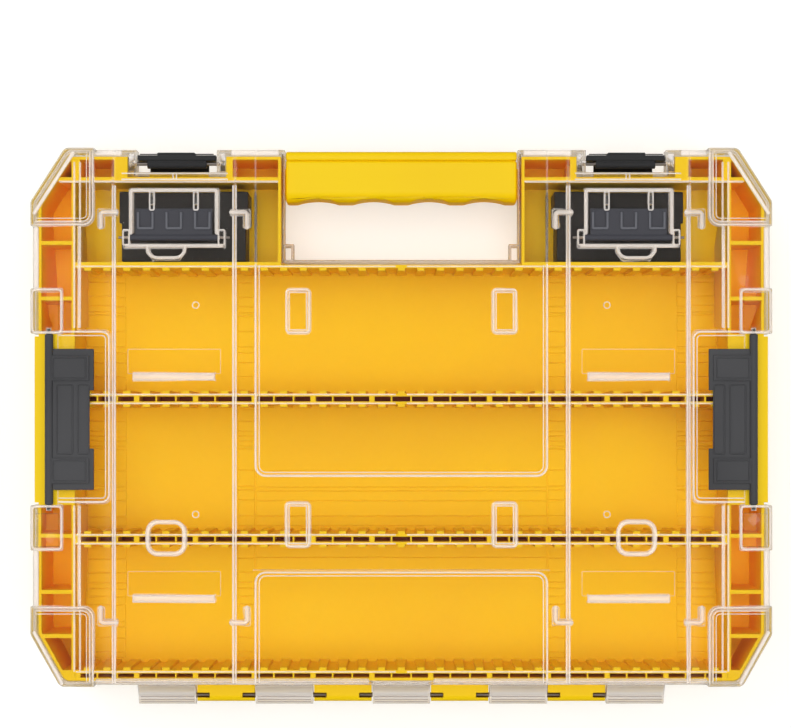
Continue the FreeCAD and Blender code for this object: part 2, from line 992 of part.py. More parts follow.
ring_x = ("ring_outer - ring_width", "ring_outer")
full_z = ("low_under", "case_height")
ridges = [
    ring(
        "front_ring",
        ring_x,
        around("-front_ring_y", "ring_depth"),
        full_z,
        "ring_round",
        "ridge_line",
    ),
    ring(
        "rear_ring",
        ring_x,
        around("rear_ring_y", "ring_depth"),
        full_z,
        "ring_round",
        "ridge_line",
    ),
    ring(
        "loop",
        around("loop_x", "loop_width"),
        around("loop_y", "loop_depth"),
        full_z,
        "loop_round",
        "ridge_line",
    ),
    ridge(
        "front_bar",
        around("bay_center", "bar_width"),
        around("-front_bar_y", "bar_depth"),
    ),
    ridge(
        "rear_bar", around("bay_center", "bar_width"), around("rear_bar_y", "bar_depth")
    ),
]

# Corner-shaped marks beside the bay, one pair in front and one behind.
for side, edge, way in (
    ("in", "bay_inner + mark_lap", -1),
    ("out", "bay_outer - mark_lap", 1),
):
    far = "%s + mark_length * %d" % (edge, way)
    leg = "%s - mark_line * %d" % (far, way)
    arm_x = (edge, far) if way > 0 else (far, edge)
    leg_x = (leg, far) if way > 0 else (far, leg)
    for tag, arm_y, leg_y in (
        (
            "front",
            ("-front_mark_y", "-front_mark_y + mark_line"),
            ("-front_mark_y", "-front_mark_y + mark_reach"),
        ),
        (
            "rear",
            ("rear_mark_y + mark_reach - mark_line", "rear_mark_y + mark_reach"),
            ("rear_mark_y", "rear_mark_y + mark_reach"),
        ),
    ):
        ridges.append(ridge("mark_%s_%s_arm" % (tag, side), arm_x, arm_y))
        ridges.append(ridge("mark_%s_%s_leg" % (tag, side), leg_x, leg_y))

# Frame and ears round the stack catch, and the boxes that hold the side latch.
frame_x = around("bay_center", "frame_width")
ridges.append(
    ridge(
        "frame_top",
        frame_x,
        ("-stack_y - frame_front", "-stack_y - frame_front + frame_line"),
    )
)
for side, (a, b) in (
    ("near", (frame_x[0], frame_x[0] + " + frame_line")),
    ("away", (frame_x[1] + " - frame_line", frame_x[1])),
):
    bar_end = "-stack_y - stack_barrel - hinge_end_gap"
    ridges.append(
        ridge("frame_" + side, (a, b), ("-stack_y - frame_front", bar_end))
    )
ear_out = "bay_center + (frame_width / 2 + ear_width / 2) * %d"
for side, way in (("near", -1), ("away", 1)):
    ridges.append(
        ridge(
            "ear_" + side,
            around(ear_out % way, "ear_width"),
            ("-stack_y - ear_depth / 2", "-stack_y + ear_depth / 2 + frame_line"),
        )
    )
ridges.append(
    ridge(
        "frame_low",
        frame_x,
        ("-stack_y + ear_depth / 2", "-stack_y + ear_depth / 2 + frame_line"),
    )
)
for side, way in (("near", -1), ("away", 1)):
    ridges.append(
        ridge(
            "frame_rib_" + side,
            around("bay_center + stack_width * frame_rib_share * %d" % way, "frame_line"),
            (
                "-stack_y - frame_front",
                "-stack_y - stack_reach - stack_barrel",
            ),
        )
    )
loop_top = "-stack_y + ear_depth / 2 + frame_line"


def bail(name, inset, z):
    points = [
        ("bay_center - bail_width / 2 + (%s)" % inset, loop_top),
        ("bay_center + bail_width / 2 - (%s)" % inset, loop_top),
        ("bay_center + bail_width / 2 - (%s)" % inset, loop_top + " + bail_depth / 3"),
        (
            "bay_center + bail_width / 2 - bail_depth / 2 - (%s) / 2" % inset,
            loop_top + " + bail_depth - (%s)" % inset,
        ),
        (
            "bay_center - bail_width / 2 + bail_depth / 2 + (%s) / 2" % inset,
            loop_top + " + bail_depth - (%s)" % inset,
        ),
        ("bay_center - bail_width / 2 + (%s)" % inset, loop_top + " + bail_depth / 3"),
    ]
    return outlined(name, "XY_Plane", points, z[0], "(%s) - (%s)" % (z[1], z[0]))


ridges.append(
    less(
        "bail",
        bail("bail_outer", "0", full_z),
        bail("bail_inner", "ridge_line", ("low_top", "case_height + overrun")),
    )
)

# Small tabs on the skirt at the back corners of the hand gap.
tab_z = ("skirt_bottom", "low_top")
gap_tabs = [
    block(
        "gap_tab_leg",
        ("lid_gap_half - tab_width", "lid_gap_half - tab_width + tab_line"),
        ("lid_gap_rear - tab_depth", "lid_gap_rear + skirt_wall / 2"),
        tab_z,
    ),
    block(
        "gap_tab_arm",
        ("lid_gap_half - tab_width", "lid_gap_half + skirt_wall / 2"),
        ("lid_gap_rear - tab_depth", "lid_gap_rear - tab_depth + tab_line"),
        tab_z,
    ),
]
box_x = ("case_width / 2 - pivot_box_width", "case_width / 2")
pivot_boxes = [
    ridge("pivot_box_front", box_x, ("front_pivot_box", "-deck_front")),
    ridge("pivot_box_rear", box_x, ("deck_rear", "deck_rear + pivot_box_depth")),
]

# Bosses beside each latch notch, which carry the latch's pin.
latch_bosses = []
for side, way in (("near", -1), ("away", 1)):
    edge = "latch_center + latch_notch / 2 * %d" % way
    far = "latch_center + boss_span / 2 * %d" % way
    latch_bosses.append(
        block(
            "latch_boss_" + side,
            (edge, far) if way > 0 else (far, edge),
            (
                "lid_front + skirt_wall / 2",
                "latch_pivot_y + boss_depth / 2",
            ),
            ("latch_pivot_z - boss_drop", "low_top"),
        )
    )

# Hinge knuckles on the lid's rear skirt: one in the middle, two on each side.
knuckle_profile = [
    ("lid_rear - skirt_wall / 2", "hinge_height - knuckle_radius / 3"),
    ("hinge_y", "hinge_height - knuckle_radius / 3"),
    ("hinge_y", "hinge_height + knuckle_radius"),
    ("lid_rear", "hinge_height + knuckle_radius + hinge_web"),
    ("lid_rear - skirt_wall / 2", "hinge_height + knuckle_radius + hinge_web"),
]
knuckles = []
knuckle_bores = []
knuckle_length = "hinge_pitch - 2 * hinge_end_gap"
for i in (-2, -1, 0, 1, 2):
    start = "hinge_pitch * (2 * %d - 0.5) + hinge_end_gap" % i
    knuckles.append(
        outlined(
            "knuckle_web_%d" % (i + 3),
            "YZ_Plane",
            knuckle_profile,
            start,
            knuckle_length,
        )
    )
    knuckles.append(
        rod(
            "knuckle_%d" % (i + 3),
            "x",
            "knuckle_radius",
            knuckle_length,
            start,
            "hinge_y",
            "hinge_height",
        )
    )
    knuckle_bores.append(
        rod(
            "knuckle_bore_%d" % (i + 3),
            "x",
            "hinge_pin_radius + pin_clearance",
            "hinge_pitch + 2 * overrun",
            "hinge_pitch * (2 * %d - 0.5) - overrun" % i,
            "hinge_y",
            "hinge_height",
        )
    )

# What is hollow in the lid: the space over the tray, less the skirts round the
# gaps, and the underside of each raised field.
inner_block = case_outline(
    "inner_block",
    "lid_half - skirt_wall",
    "lid_front + skirt_wall",
    "lid_rear - skirt_wall",
    "pad_proud + skirt_wall",
    ("skirt_bottom - overrun", "low_under"),
)
gap_keep = block(
    "gap_keep",
    ("-lid_gap_half - skirt_wall", "lid_gap_half + skirt_wall"),
    ("lid_front - overrun", "lid_gap_rear + skirt_wall"),
    ("skirt_bottom - 2 * overrun", "case_height"),
)
notch_keep = both(
    "notch_keep",
    [
        block(
            "notch_keep_near",
            around("latch_center", "(latch_notch + 2 * skirt_wall)"),
            ("lid_front - overrun", "notch_rear + skirt_wall"),
            ("skirt_bottom - 2 * overrun", "case_height"),
        )
    ],
)
boss_keep = both("boss_keep", latch_bosses)
keeps = fused("keeps", [gap_keep, notch_keep])
lid_space = less("lid_space", inner_block, keeps)

middle_under = sloped(
    "middle_under",
    (
        "-bay_inner - field_slope / 2 + lid_plate",
        "bay_inner + field_slope / 2 - lid_plate",
    ),
    ("row_1_front", "lid_rear - 2 * skirt_wall"),
    ("low_under", "field_under"),
    "field_slope",
)
side_under = sloped(
    "side_under",
    (
        "bay_outer - field_slope / 2 + lid_plate",
        "bay_outer + side_field_width + field_slope / 2 - lid_plate",
    ),
    ("tower_front", "lid_rear - 2 * skirt_wall"),
    ("low_under", "field_under"),
    "field_slope",
)

# Panels sunk into the middle field, and the side latch's recess.
panel_x = ("-panel_half_width - field_slope / 2", "panel_half_width + field_slope / 2")
sink_z = ("low_top", "case_height + overrun")
front_panel = softened(
    "front_panel",
    panel_x,
    ("lid_front - overrun", "panel_rear + field_slope / 2"),
    sink_z,
    number("panel_round"),
    ["01", "11"],
)
rear_panel = softened(
    "rear_panel",
    panel_x,
    ("rear_panel_front - field_slope / 2", "lid_rear + overrun"),
    sink_z,
    number("panel_round"),
    ["00", "10"],
)
latch_bed = softened(
    "latch_bed",
    ("recess_inner", "case_width"),
    ("recess_front_y", "recess_rear_y"),
    sink_z,
    number("recess_round"),
    ["00", "01"],
)
front_panel_under = block(
    "front_panel_under",
    (
        "-panel_half_width - field_slope / 2 - lid_plate",
        "panel_half_width + field_slope / 2 + lid_plate",
    ),
    ("lid_front - overrun", "panel_rear + field_slope / 2 + lid_plate"),
    ("low_under - overrun", "case_height"),
)
rear_panel_under = block(
    "rear_panel_under",
    (
        "-panel_half_width - field_slope / 2 - lid_plate",
        "panel_half_width + field_slope / 2 + lid_plate",
    ),
    ("rear_panel_front - field_slope / 2 - lid_plate", "lid_rear + overrun"),
    ("low_under - overrun", "case_height"),
)
bed_under = block(
    "bed_under",
    ("recess_inner - lid_plate", "case_width"),
    ("recess_front_y - lid_plate", "recess_rear_y + lid_plate"),
    ("low_under - overrun", "case_height"),
)
fields = less(
    "fields",
    grouped("field_blocks", [middle_field, both("side_fields", [side_field])]),
    grouped("field_sinks", [front_panel, rear_panel, both("latch_beds", [latch_bed])]),
)
under_fields = less(
    "under_fields",
    grouped("under_blocks", [middle_under, both("side_unders", [side_under])]),
    grouped(
        "under_sinks",
        [front_panel_under, rear_panel_under, both("beds_under", [bed_under])],
    ),
)

# The raised corners and the pivot boxes are hollow below as well.
corner_space = case_outline(
    "corner_space",
    "case_width / 2 - skirt_wall",
    "case_front + skirt_wall",
    "lid_rear + pad_proud - skirt_wall",
    "skirt_wall",
    ("low_under - overrun", "case_height - lid_plate"),
)
corner_zones = both(
    "corner_zones",
    [
        softened(
            "front_corner_zone",
            ("pad_inner + skirt_wall", "case_width"),
            ("case_front - overrun", "case_front + front_pad_length - skirt_wall"),
            ("low_under - overrun", "case_height"),
            number("pad_round") - number("skirt_wall"),
            ["01"],
        ),
        softened(
            "rear_corner_zone",
            ("pad_inner + skirt_wall", "case_width"),
            ("lid_rear - rear_pad_length + skirt_wall", "lid_rear + 2 * overrun"),
            ("low_under - overrun", "case_height"),
            number("pad_round") - number("skirt_wall"),
            ["00"],
        ),
    ],
)
pads_under = shared("pads_under", [corner_space, corner_zones])
box_under_x = ("case_width / 2 - pivot_box_width + skirt_wall", "lid_half - skirt_wall")
box_wall = "side_stub_length + skirt_wall"
boxes_under = both(
    "boxes_under",
    [
        block(
            "front_box_under",
            box_under_x,
            ("front_pivot_box + skirt_wall", "-deck_front - %s" % box_wall),
            ("low_under - overrun", "case_height - lid_plate"),
        ),
        block(
            "rear_box_under",
            box_under_x,
            ("deck_rear + %s" % box_wall, "deck_rear + pivot_box_depth - skirt_wall"),
            ("low_under - overrun", "case_height - lid_plate"),
        ),
    ],
)

lid_notches = [
    block(
        "latch_notch_cut",
        around("latch_center", "latch_notch"),
        ("case_front - overrun", "notch_rear"),
        ("skirt_bottom - overrun", "case_height + overrun"),
    ),
    block(
        "side_cut",
        ("side_cut_inner", "case_width"),
        ("-deck_front", "deck_rear"),
        ("skirt_bottom - overrun", "case_height + overrun"),
    ),
    rod(
        "latch_pin_hole",
        "x",
        "latch_pin_radius + pin_clearance",
        "boss_span - boss_width",
        "latch_center - boss_span / 2 + boss_width / 2",
        "latch_pivot_y",
        "latch_pivot_z",
    ),
    rod(
        "stack_pin_hole",
        "x",
        "stack_pin_radius + pin_clearance",
        "stack_pin_length",
        "bay_center - stack_pin_length / 2",
        "-stack_y",
        "stack_pivot_height",
    ),
    rod(
        "side_stub_hole",
        "y",
        "side_stub + pin_clearance",
        "deck_front + deck_rear + 2 * (side_stub_length + pin_clearance)",
        "side_pivot_x",
        "-deck_front - side_stub_length - pin_clearance",
        "side_pivot_height",
    ),
]
gap_tab_pair = both("gap_tab_pair", gap_tabs)
lid_gap_block = block(
    "lid_gap_block",
    ("-lid_gap_half", "lid_gap_half"),
    ("case_front - overrun", "lid_gap_rear"),
    ("skirt_bottom - overrun", "case_height + overrun"),
)
lid_gap = less("lid_gap", lid_gap_block, gap_tab_pair)
shell = less("lid_shell", fused("lid_outside", [lid_block, corner_pads, fields]), lid_space)
ridge_pair = both("ridge_pair", ridges + pivot_boxes)
full_lid = fused("full_lid", [shell, ridge_pair, boss_keep, gap_tab_pair] + knuckles)
lid_unders = fused("lid_unders", [under_fields, pads_under, boxes_under])
lid_cuts = grouped(
    "lid_cuts", [both("lid_notches", lid_notches), lid_gap] + knuckle_bores
)
hollow_lid = less("hollow_lid", full_lid, lid_unders)
lid = less("lid_whole", hollow_lid, lid_cuts)
finished(lid, "lid")

# Hinge pins, one through each knuckle and into the tray's barrels beside it.
pin_names = (
    "hinge_pin_left_outer",
    "hinge_pin_left_inner",
    "hinge_pin_middle",
    "hinge_pin_right_inner",
    "hinge_pin_right_outer",
)
for i, name in zip((-2, -1, 0, 1, 2), pin_names):
    start = "hinge_pitch * (2 * %d - 0.5)" % i
    length = "hinge_pitch"
    if i > -2:
        start += " - pin_window"
        length += " + pin_window"
    if i < 2:
        length += " + pin_window"
    pin = rod(
        name + "_rod",
        "x",
        "hinge_pin_radius",
        length,
        start,
        "hinge_y",
        "hinge_height",
    )
    finished(pin, name)

# Front latches: a plate with a grip and a hook, hung on a steel pin.
latch_front = "latch_pivot_y - latch_face_reach"
latch_plate_rear = latch_front + " + latch_plate"
latch_top = "latch_pivot_z + latch_head"
latch_bottom = "latch_pivot_z - latch_drop"
latch_parts = [
    block(
        "latch_face",
        around("latch_center", "latch_width"),
        (latch_front, latch_plate_rear),
        (latch_bottom, latch_top),
    ),
    block(
        "latch_grip_bar",
        around("latch_center", "latch_grip_width"),
        (latch_front + " - latch_grip", latch_plate_rear),
        (latch_bottom, latch_top),
    ),
    rod(
        "latch_barrel_rod",
        "x",
        "latch_barrel",
        "latch_body_width",
        "latch_center - latch_body_width / 2",
        "latch_pivot_y",
        "latch_pivot_z",
    ),
    block(
        "latch_body",
        around("latch_center", "latch_body_width"),
        (latch_front, "latch_pivot_y"),
        (latch_bottom, "latch_pivot_z + latch_barrel"),
    ),
    block(
        "latch_hook_bar",
        around("latch_center", "latch_body_width"),
        (latch_front, "latch_pivot_y + latch_hook_reach"),
        (latch_bottom, "hook_top"),
    ),
]
latch_bore = rod(
    "latch_bore",
    "x",
    "latch_pin_radius + pin_clearance",
    "latch_width + 2 * overrun",
    "latch_center - latch_width / 2 - overrun",
    "latch_pivot_y",
    "latch_pivot_z",
)
near_latch = less("latch", fused("latch_block", latch_parts), latch_bore)
finished(near_latch, "front_latch_right")
finished(mirrored("latch_far", near_latch), "front_latch_left")
near_pin = rod(
    "latch_pin",
    "x",
    "latch_pin_radius",
    "boss_span - boss_width",
    "latch_center - boss_span / 2 + boss_width / 2",
    "latch_pivot_y",
    "latch_pivot_z",
)
finished(near_pin, "front_latch_pin_right")
finished(mirrored("latch_pin_far", near_pin), "front_latch_pin_left")

# Side latches: a flap that lies in the lid's recess and swings up and outward.
flap_y = ("-deck_front + side_flap_inset", "deck_rear - side_flap_inset")
flap_low = "low_top + side_flap_lift"
flap_top = flap_low + " + side_flap_plate"
flap_inner = "side_pivot_x - side_flap_reach"
flap_parts = [
    block(
        "flap_plate",
        (flap_inner, "side_pivot_x"),
        flap_y,
        (flap_low, flap_top),
    ),
    rod(
        "flap_barrel",
        "y",
        "side_barrel",
        "deck_front + deck_rear - 2 * hinge_end_gap",
        "side_pivot_x",
        "-deck_front + hinge_end_gap",
        "side_pivot_height",
    ),
    rod(
        "flap_axle",
        "y",
        "side_stub",
        "deck_front + deck_rear + 2 * side_stub_length",
        "side_pivot_x",
        "-deck_front - side_stub_length",
        "side_pivot_height",
    ),
]
pad_inner = flap_inner + " + side_notch_depth"
for tag, ends in (
    (
        "front",
        (
            flap_y[0] + " + side_pad_inset",
            flap_y[0] + " + side_pad_inset + side_pad_length",
        ),
    ),
    (
        "rear",
        (
            flap_y[1] + " - side_pad_inset - side_pad_length",
            flap_y[1] + " - side_pad_inset",
        ),
    ),
):
    flap_parts.append(
        block(
            "flap_pad_" + tag,
            (pad_inner, "side_pivot_x"),
            ends,
            (flap_top, flap_top + " + side_flap_pad"),
        )
    )
flap_notch = block(
    "flap_notch",
    (flap_inner + " - overrun", flap_inner + " + side_notch_depth"),
    around("(deck_rear - deck_front) / 2", "side_notch_length"),
    (flap_low + " - overrun", flap_top + " + overrun"),
)
near_flap = less("side_latch", fused("side_latch_block", flap_parts), flap_notch)
finished(near_flap, "side_latch_right")
finished(mirrored("side_latch_far", near_flap), "side_latch_left")

# Stack catches: a small flap with three windows, hinged in the lid's frame.
stack_low = "stack_pivot_height - stack_plate / 2"
stack_top = "stack_pivot_height + stack_plate / 2"
stack_x = around("bay_center", "stack_width")
stack_front = "-stack_y - stack_reach"
stack_parts = [
    block("stack_flap", stack_x, (stack_front, "-stack_y"), (stack_low, stack_top)),
    rod(
        "stack_barrel_rod",
        "x",
        "stack_barrel",
        "frame_width - 2 * hinge_end_gap",
        "bay_center - frame_width / 2 + hinge_end_gap",
        "-stack_y",
        "stack_pivot_height",
    ),
]
stack_cuts = [
    rod(
        "stack_bore",
        "x",
        "stack_pin_radius + pin_clearance",
        "frame_width + 2 * overrun",
        "bay_center - frame_width / 2 - overrun",
        "-stack_y",
        "stack_pivot_height",
    )
]
window_shares = [-0.377, 0, 0.377]
for i, share in enumerate(window_shares):
    center = "bay_center + stack_width * %s" % share
    near_y = stack_front + " + stack_window * stack_window_share"
    stack_parts.append(
        block(
            "stack_rim_%d" % i,
            around(center, "stack_window"),
            (near_y, near_y + " + stack_window"),
            (stack_top, stack_top + " + stack_rim"),
        )
    )
    stack_cuts.append(
        block(
            "stack_window_%d" % i,
            around(center, "(stack_window - 2 * stack_window_line)"),
            (
                near_y + " - stack_window_line",
                near_y + " + stack_window - stack_window_line",
            ),
            (stack_top + " - stack_rim / 2", stack_top + " + 2 * stack_rim"),
        )
    )
near_stack = less(
    "stack_catch", fused("stack_block", stack_parts), grouped("stack_cuts", stack_cuts)
)
finished(near_stack, "stack_catch_right")
finished(mirrored("stack_catch_far", near_stack), "stack_catch_left")
near_rod = rod(
    "stack_pin",
    "x",
    "stack_pin_radius",
    "stack_pin_length",
    "bay_center - stack_pin_length / 2",
    "-stack_y",
    "stack_pivot_height",
)
finished(near_rod, "stack_catch_pin_right")
finished(mirrored("stack_pin_far", near_rod), "stack_catch_pin_left")

# Every object must have worked out, and every piece be one sound solid.
doc.recompute()
for thing in doc.Objects:
    if "Invalid" in thing.State or "Error" in thing.State:
        raise RuntimeError("%s did not work out: %s" % (thing.Label, thing.State))
for thing in nodes:
    shape = thing.Shape
    if shape.isNull() or not shape.isValid() or not shape.Solids:
        raise RuntimeError("%s has no sound shape" % thing.Label)

os.makedirs("parts", exist_ok=True)
for thing in nodes:
    shape = thing.Shape
    print(thing.Label, len(shape.Solids), round(shape.Volume), shape.BoundBox)
    shape.exportStep("parts/%s.step" % thing.Label)
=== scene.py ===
import bmesh
import bpy
import math
from mathutils import Matrix, Vector


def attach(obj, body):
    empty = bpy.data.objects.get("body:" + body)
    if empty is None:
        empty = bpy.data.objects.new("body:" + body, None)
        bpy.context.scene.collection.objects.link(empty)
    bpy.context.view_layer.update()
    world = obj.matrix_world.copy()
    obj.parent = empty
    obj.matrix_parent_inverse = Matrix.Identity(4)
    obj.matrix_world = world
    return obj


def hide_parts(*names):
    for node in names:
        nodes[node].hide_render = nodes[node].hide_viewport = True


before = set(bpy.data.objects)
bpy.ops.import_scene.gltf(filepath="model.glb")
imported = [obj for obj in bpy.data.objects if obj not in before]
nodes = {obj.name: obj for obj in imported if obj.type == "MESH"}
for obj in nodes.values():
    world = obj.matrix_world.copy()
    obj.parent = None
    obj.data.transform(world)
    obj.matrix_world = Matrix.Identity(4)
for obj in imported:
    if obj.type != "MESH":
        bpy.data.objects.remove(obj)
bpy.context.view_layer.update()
print("frame loaded")


# A number or colour that comes out of a shader node. Sums on it add Maths nodes.
class Wire:
    def __init__(self, mix, socket):
        self.mix = mix
        self.socket = socket

    def maths(self, operation, *values):
        inputs = dict(enumerate(values))
        return self.mix.add("ShaderNodeMath", {"operation": operation}, inputs)

    def __add__(self, other):
        return self.maths("ADD", self, other)

    def __radd__(self, other):
        return self.maths("ADD", other, self)

    def __sub__(self, other):
        return self.maths("SUBTRACT", self, other)

    def __rsub__(self, other):
        return self.maths("SUBTRACT", other, self)

    def __mul__(self, other):
        return self.maths("MULTIPLY", self, other)

    def __rmul__(self, other):
        return self.maths("MULTIPLY", other, self)

    def __gt__(self, other):
        return self.maths("GREATER_THAN", self, other)

    def __lt__(self, other):
        return self.maths("LESS_THAN", self, other)

    def __abs__(self):
        return self.maths("ABSOLUTE", self)

    def atMost(self, most):
        return self.maths("MINIMUM", self, most)

    def either(self, other):
        return self.maths("MAXIMUM", self, other)

    def ramp(self, low, high):
        inputs = {"Value": self, "From Min": low, "From Max": high}
        settings = {"interpolation_type": "SMOOTHSTEP"}
        return self.mix.add("ShaderNodeMapRange", settings, inputs)


# The nodes of one material or world, and the one way in which they are added.
class Mix:
    def __init__(self, owner):
        self.owner = owner
        owner.use_nodes = True
        self.tree = owner.node_tree
        self.tree.nodes.clear()

    def add(self, kind, settings=None, inputs=None, output=0):
        node = self.tree.nodes.new(kind)
        for key, value in (settings or {}).items():
            setattr(node, key, value)
        for key, value in (inputs or {}).items():
            if isinstance(value, Wire):
                self.tree.links.new(value.socket, node.inputs[key])
            else:
                node.inputs[key].default_value = value
        return Wire(self, node.outputs[output] if node.outputs else None)

    def place(self):
        return self.add("ShaderNodeTexCoord", output="Object")

    def axis(self, name, vector):
        return self.add("ShaderNodeSeparateXYZ", {}, {"Vector": vector}, output=name)

    def ray(self, kind):
        return self.add("ShaderNodeLightPath", output=kind)

    def noise(self, scale, detail=2, stretch=(1, 1, 1)):
        inputs = {"Vector": self.place(), "Scale": stretch}
        where = self.add("ShaderNodeMapping", {}, inputs)
        inputs = {"Vector": where, "Scale": scale, "Detail": detail}
        return self.add("ShaderNodeTexNoise", {}, inputs)

    def flatNormal(self):
        return self.add("ShaderNodeNewGeometry", output="Normal")

    def softNormal(self, radius, samples):
        return self.add("ShaderNodeBevel", {"samples": samples}, {"Radius": radius})

    # How far the soft normal leans from the flat one, which it does near edges.
    def lean(self, soft):
        settings = {"operation": "DOT_PRODUCT"}
        inputs = {0: soft, 1: self.flatNormal()}
        same = self.add("ShaderNodeVectorMath", settings, inputs, output="Value")
        return 1 - same

    # Nought on a level face and one on an upright one.
    def slope(self):
        return 1 - abs(self.axis("Z", self.flatNormal()))

    def blend(self, share, first, second):
        settings = {"data_type": "RGBA"}
        inputs = {"Factor": share, 6: first, 7: second}
        return self.add("ShaderNodeMix", settings, inputs, output=2)

    def bump(self, height, strength, distance, normal=None):
        inputs = {"Height": height, "Strength": strength, "Distance": distance}
        if normal is not None:
            inputs["Normal"] = normal
        return self.add("ShaderNodeBump", {}, inputs)

    def shader(self, inputs):
        return self.add("ShaderNodeBsdfPrincipled", {}, inputs)

    def mixShaders(self, share, first, second):
        return self.add("ShaderNodeMixShader", {}, {0: share, 1: first, 2: second})

    def finish(self, surface, kind="ShaderNodeOutputMaterial"):
        self.add(kind, {}, {"Surface": surface})
        return self.owner


def mixFor(name):
    return Mix(bpy.data.materials.new(name))


# A colour as a screen shows it, 0 to 255, in the linear values that nodes use.
def paint(red, green, blue):
    def linear(value):
        value = value / 255
        return value / 12.92 if value < 0.04045 else ((value + 0.055) / 1.055) ** 2.4

    return (linear(red), linear(green), linear(blue), 1)


# Each plastic's colour, paler edge colour (wear and painted highlight), darker cloud
# tone, roughness, and radius of soft edges.
plastics = {
    "yellow": ((243, 204, 2), (251, 221, 80), (241, 199, 1), 0.42, 0.0007),
    "tray": ((243, 204, 2), (251, 221, 80), (241, 199, 1), 0.42, 0.0007),
    # The deep cells' webs are painted dark red-brown, a painted shade.
    "cell": ((178, 78, 10), (196, 100, 20), (168, 70, 8), 0.42, 0.0007),
    "black": ((44, 44, 45), (96, 96, 96), (36, 36, 37), 0.38, 0.0005),
    "catch": ((66, 66, 72), (120, 120, 126), (58, 58, 64), 0.4, 0.0005),
    # The catch's window rims are painted lighter than the catch, a painted highlight.
    "catchRim": ((100, 101, 107), (140, 140, 146), (92, 93, 99), 0.36, 0.0003),
    "grey": ((72, 72, 74), (118, 118, 118), (62, 62, 64), 0.45, 0.0005),
}
mouldedLook = {
    "shine": 0.12,
    "edgeSamples": 4,
    "edgeRange": (0.02, 0.25),
    "edgeWear": 0.6,
    "cloudScale": 9,
    "cloudRange": (0.35, 0.65),
    "cloudRoughness": 0.08,
    "scuffScale": 60,
    "scuffStretch": (1, 7, 2),
    "scuffRange": (0.62, 0.78),
    "scuffRoughness": 0.12,
    "grainScale": 1500,
    "grainDepth": 0.00004,
    "grainStrength": 0.25,
    # A paler yellow painted into the narrow pockets and towers as painted light, and
    # the bounds of that region.
    "pocket": (253, 214, 12),
    "pocketSide": 0.1952,
    "pocketFront": -0.0968,
    "pocketTop": 0.0715,
}


# The narrow pockets and towers, where the tray is painted a paler yellow: painted light
# that brightens their shade.
def paintedLightPocketShare(mix):
    aside = abs(mix.axis("X", mix.place())) > mouldedLook["pocketSide"]
    ahead = mix.axis("Y", mix.place()) < mouldedLook["pocketFront"]
    inside = mix.axis("Z", mix.place()) < mouldedLook["pocketTop"]
    return aside.either(ahead) * inside


def mouldedPlastic(name):
    colour, worn, deep, roughness, edgeRadius = plastics[name]
    look = mouldedLook
    mix = mixFor(name + "Plastic")
    clouds = mix.noise(look["cloudScale"], 3)
    scuffs = mix.noise(look["scuffScale"], 4, look["scuffStretch"])
    scuffs = scuffs.ramp(*look["scuffRange"]) * look["scuffRoughness"]
    grain = mix.noise(look["grainScale"])
    soft = mix.softNormal(edgeRadius, look["edgeSamples"])
    body = mix.blend(clouds.ramp(*look["cloudRange"]), paint(*deep), paint(*colour))
    # The tray's pockets and towers are painted paler, painted light that brightens
    # their shade.
    if name == "tray":
        body = mix.blend(paintedLightPocketShare(mix), body, paint(*look["pocket"]))
    # Edges are painted paler: partly wear, partly a painted highlight where they catch
    # the light.
    wearAndHighlight = mix.lean(soft).ramp(*look["edgeRange"]) * look["edgeWear"]
    inputs = {
        "Base Color": mix.blend(wearAndHighlight, body, paint(*worn)),
        "Roughness": roughness + clouds * look["cloudRoughness"] + scuffs,
        "Normal": mix.bump(grain, look["grainStrength"], look["grainDepth"], soft),
        "Specular IOR Level": look["shine"],
    }
    return mix.finish(mix.shader(inputs))


clearLook = {
    "glass": paint(255, 253, 251),
    "index": 1.4,
    "roughness": 0.02,
    "milk": paint(255, 249, 243),
    "smoke": paint(150, 142, 138),
    "milkRoughness": 0.2,
    "smearRoughness": 0.1,
    "smearScale": 14,
    "mostMilk": 0.92,
    "lampLoss": 0.8,
    "flatMilk": 0.002,
    "edgeRadius": 0.0015,
    "edgeSamples": 6,
    "edgeRange": (0.002, 0.14),
    "edgeMilk": 0.7,
    "slopeRange": (0.05, 0.5),
    "slopeMilk": 0.16,
    "knuckleFrom": 0.1545,
    "knuckleMilk": 0.45,
    "flowScale": 160,
    "flowStretch": (0.08, 1, 1),
    "flowLeast": 0.4,
}


# Clear plastic with a share of milk. Lamps and soft light pass straight through it.
def clearShader(mix, share, normal, smear, colour):
    lampRay = (mix.ray("Is Shadow Ray") + mix.ray("Is Diffuse Ray")).atMost(1.0)
    inputs = {
        "Color": clearLook["glass"],
        "IOR": clearLook["index"],
        "Roughness": clearLook["roughness"],
        "Normal": normal,
    }
    glass = mix.add("ShaderNodeBsdfGlass", {}, inputs)
    through = mix.add("ShaderNodeBsdfTransparent", {}, {"Color": clearLook["glass"]})
    pane = mix.mixShaders(lampRay, glass, through)
    inputs = {
        "Base Color": colour,
        "Roughness": clearLook["milkRoughness"] + clearLook["smearRoughness"] * smear,
        "Normal": normal,
    }
    milk = mix.shader(inputs)
    share = share.atMost(clearLook["mostMilk"]) * (1 - clearLook["lampLoss"] * lampRay)
    return mix.finish(mix.mixShaders(share, pane, milk))


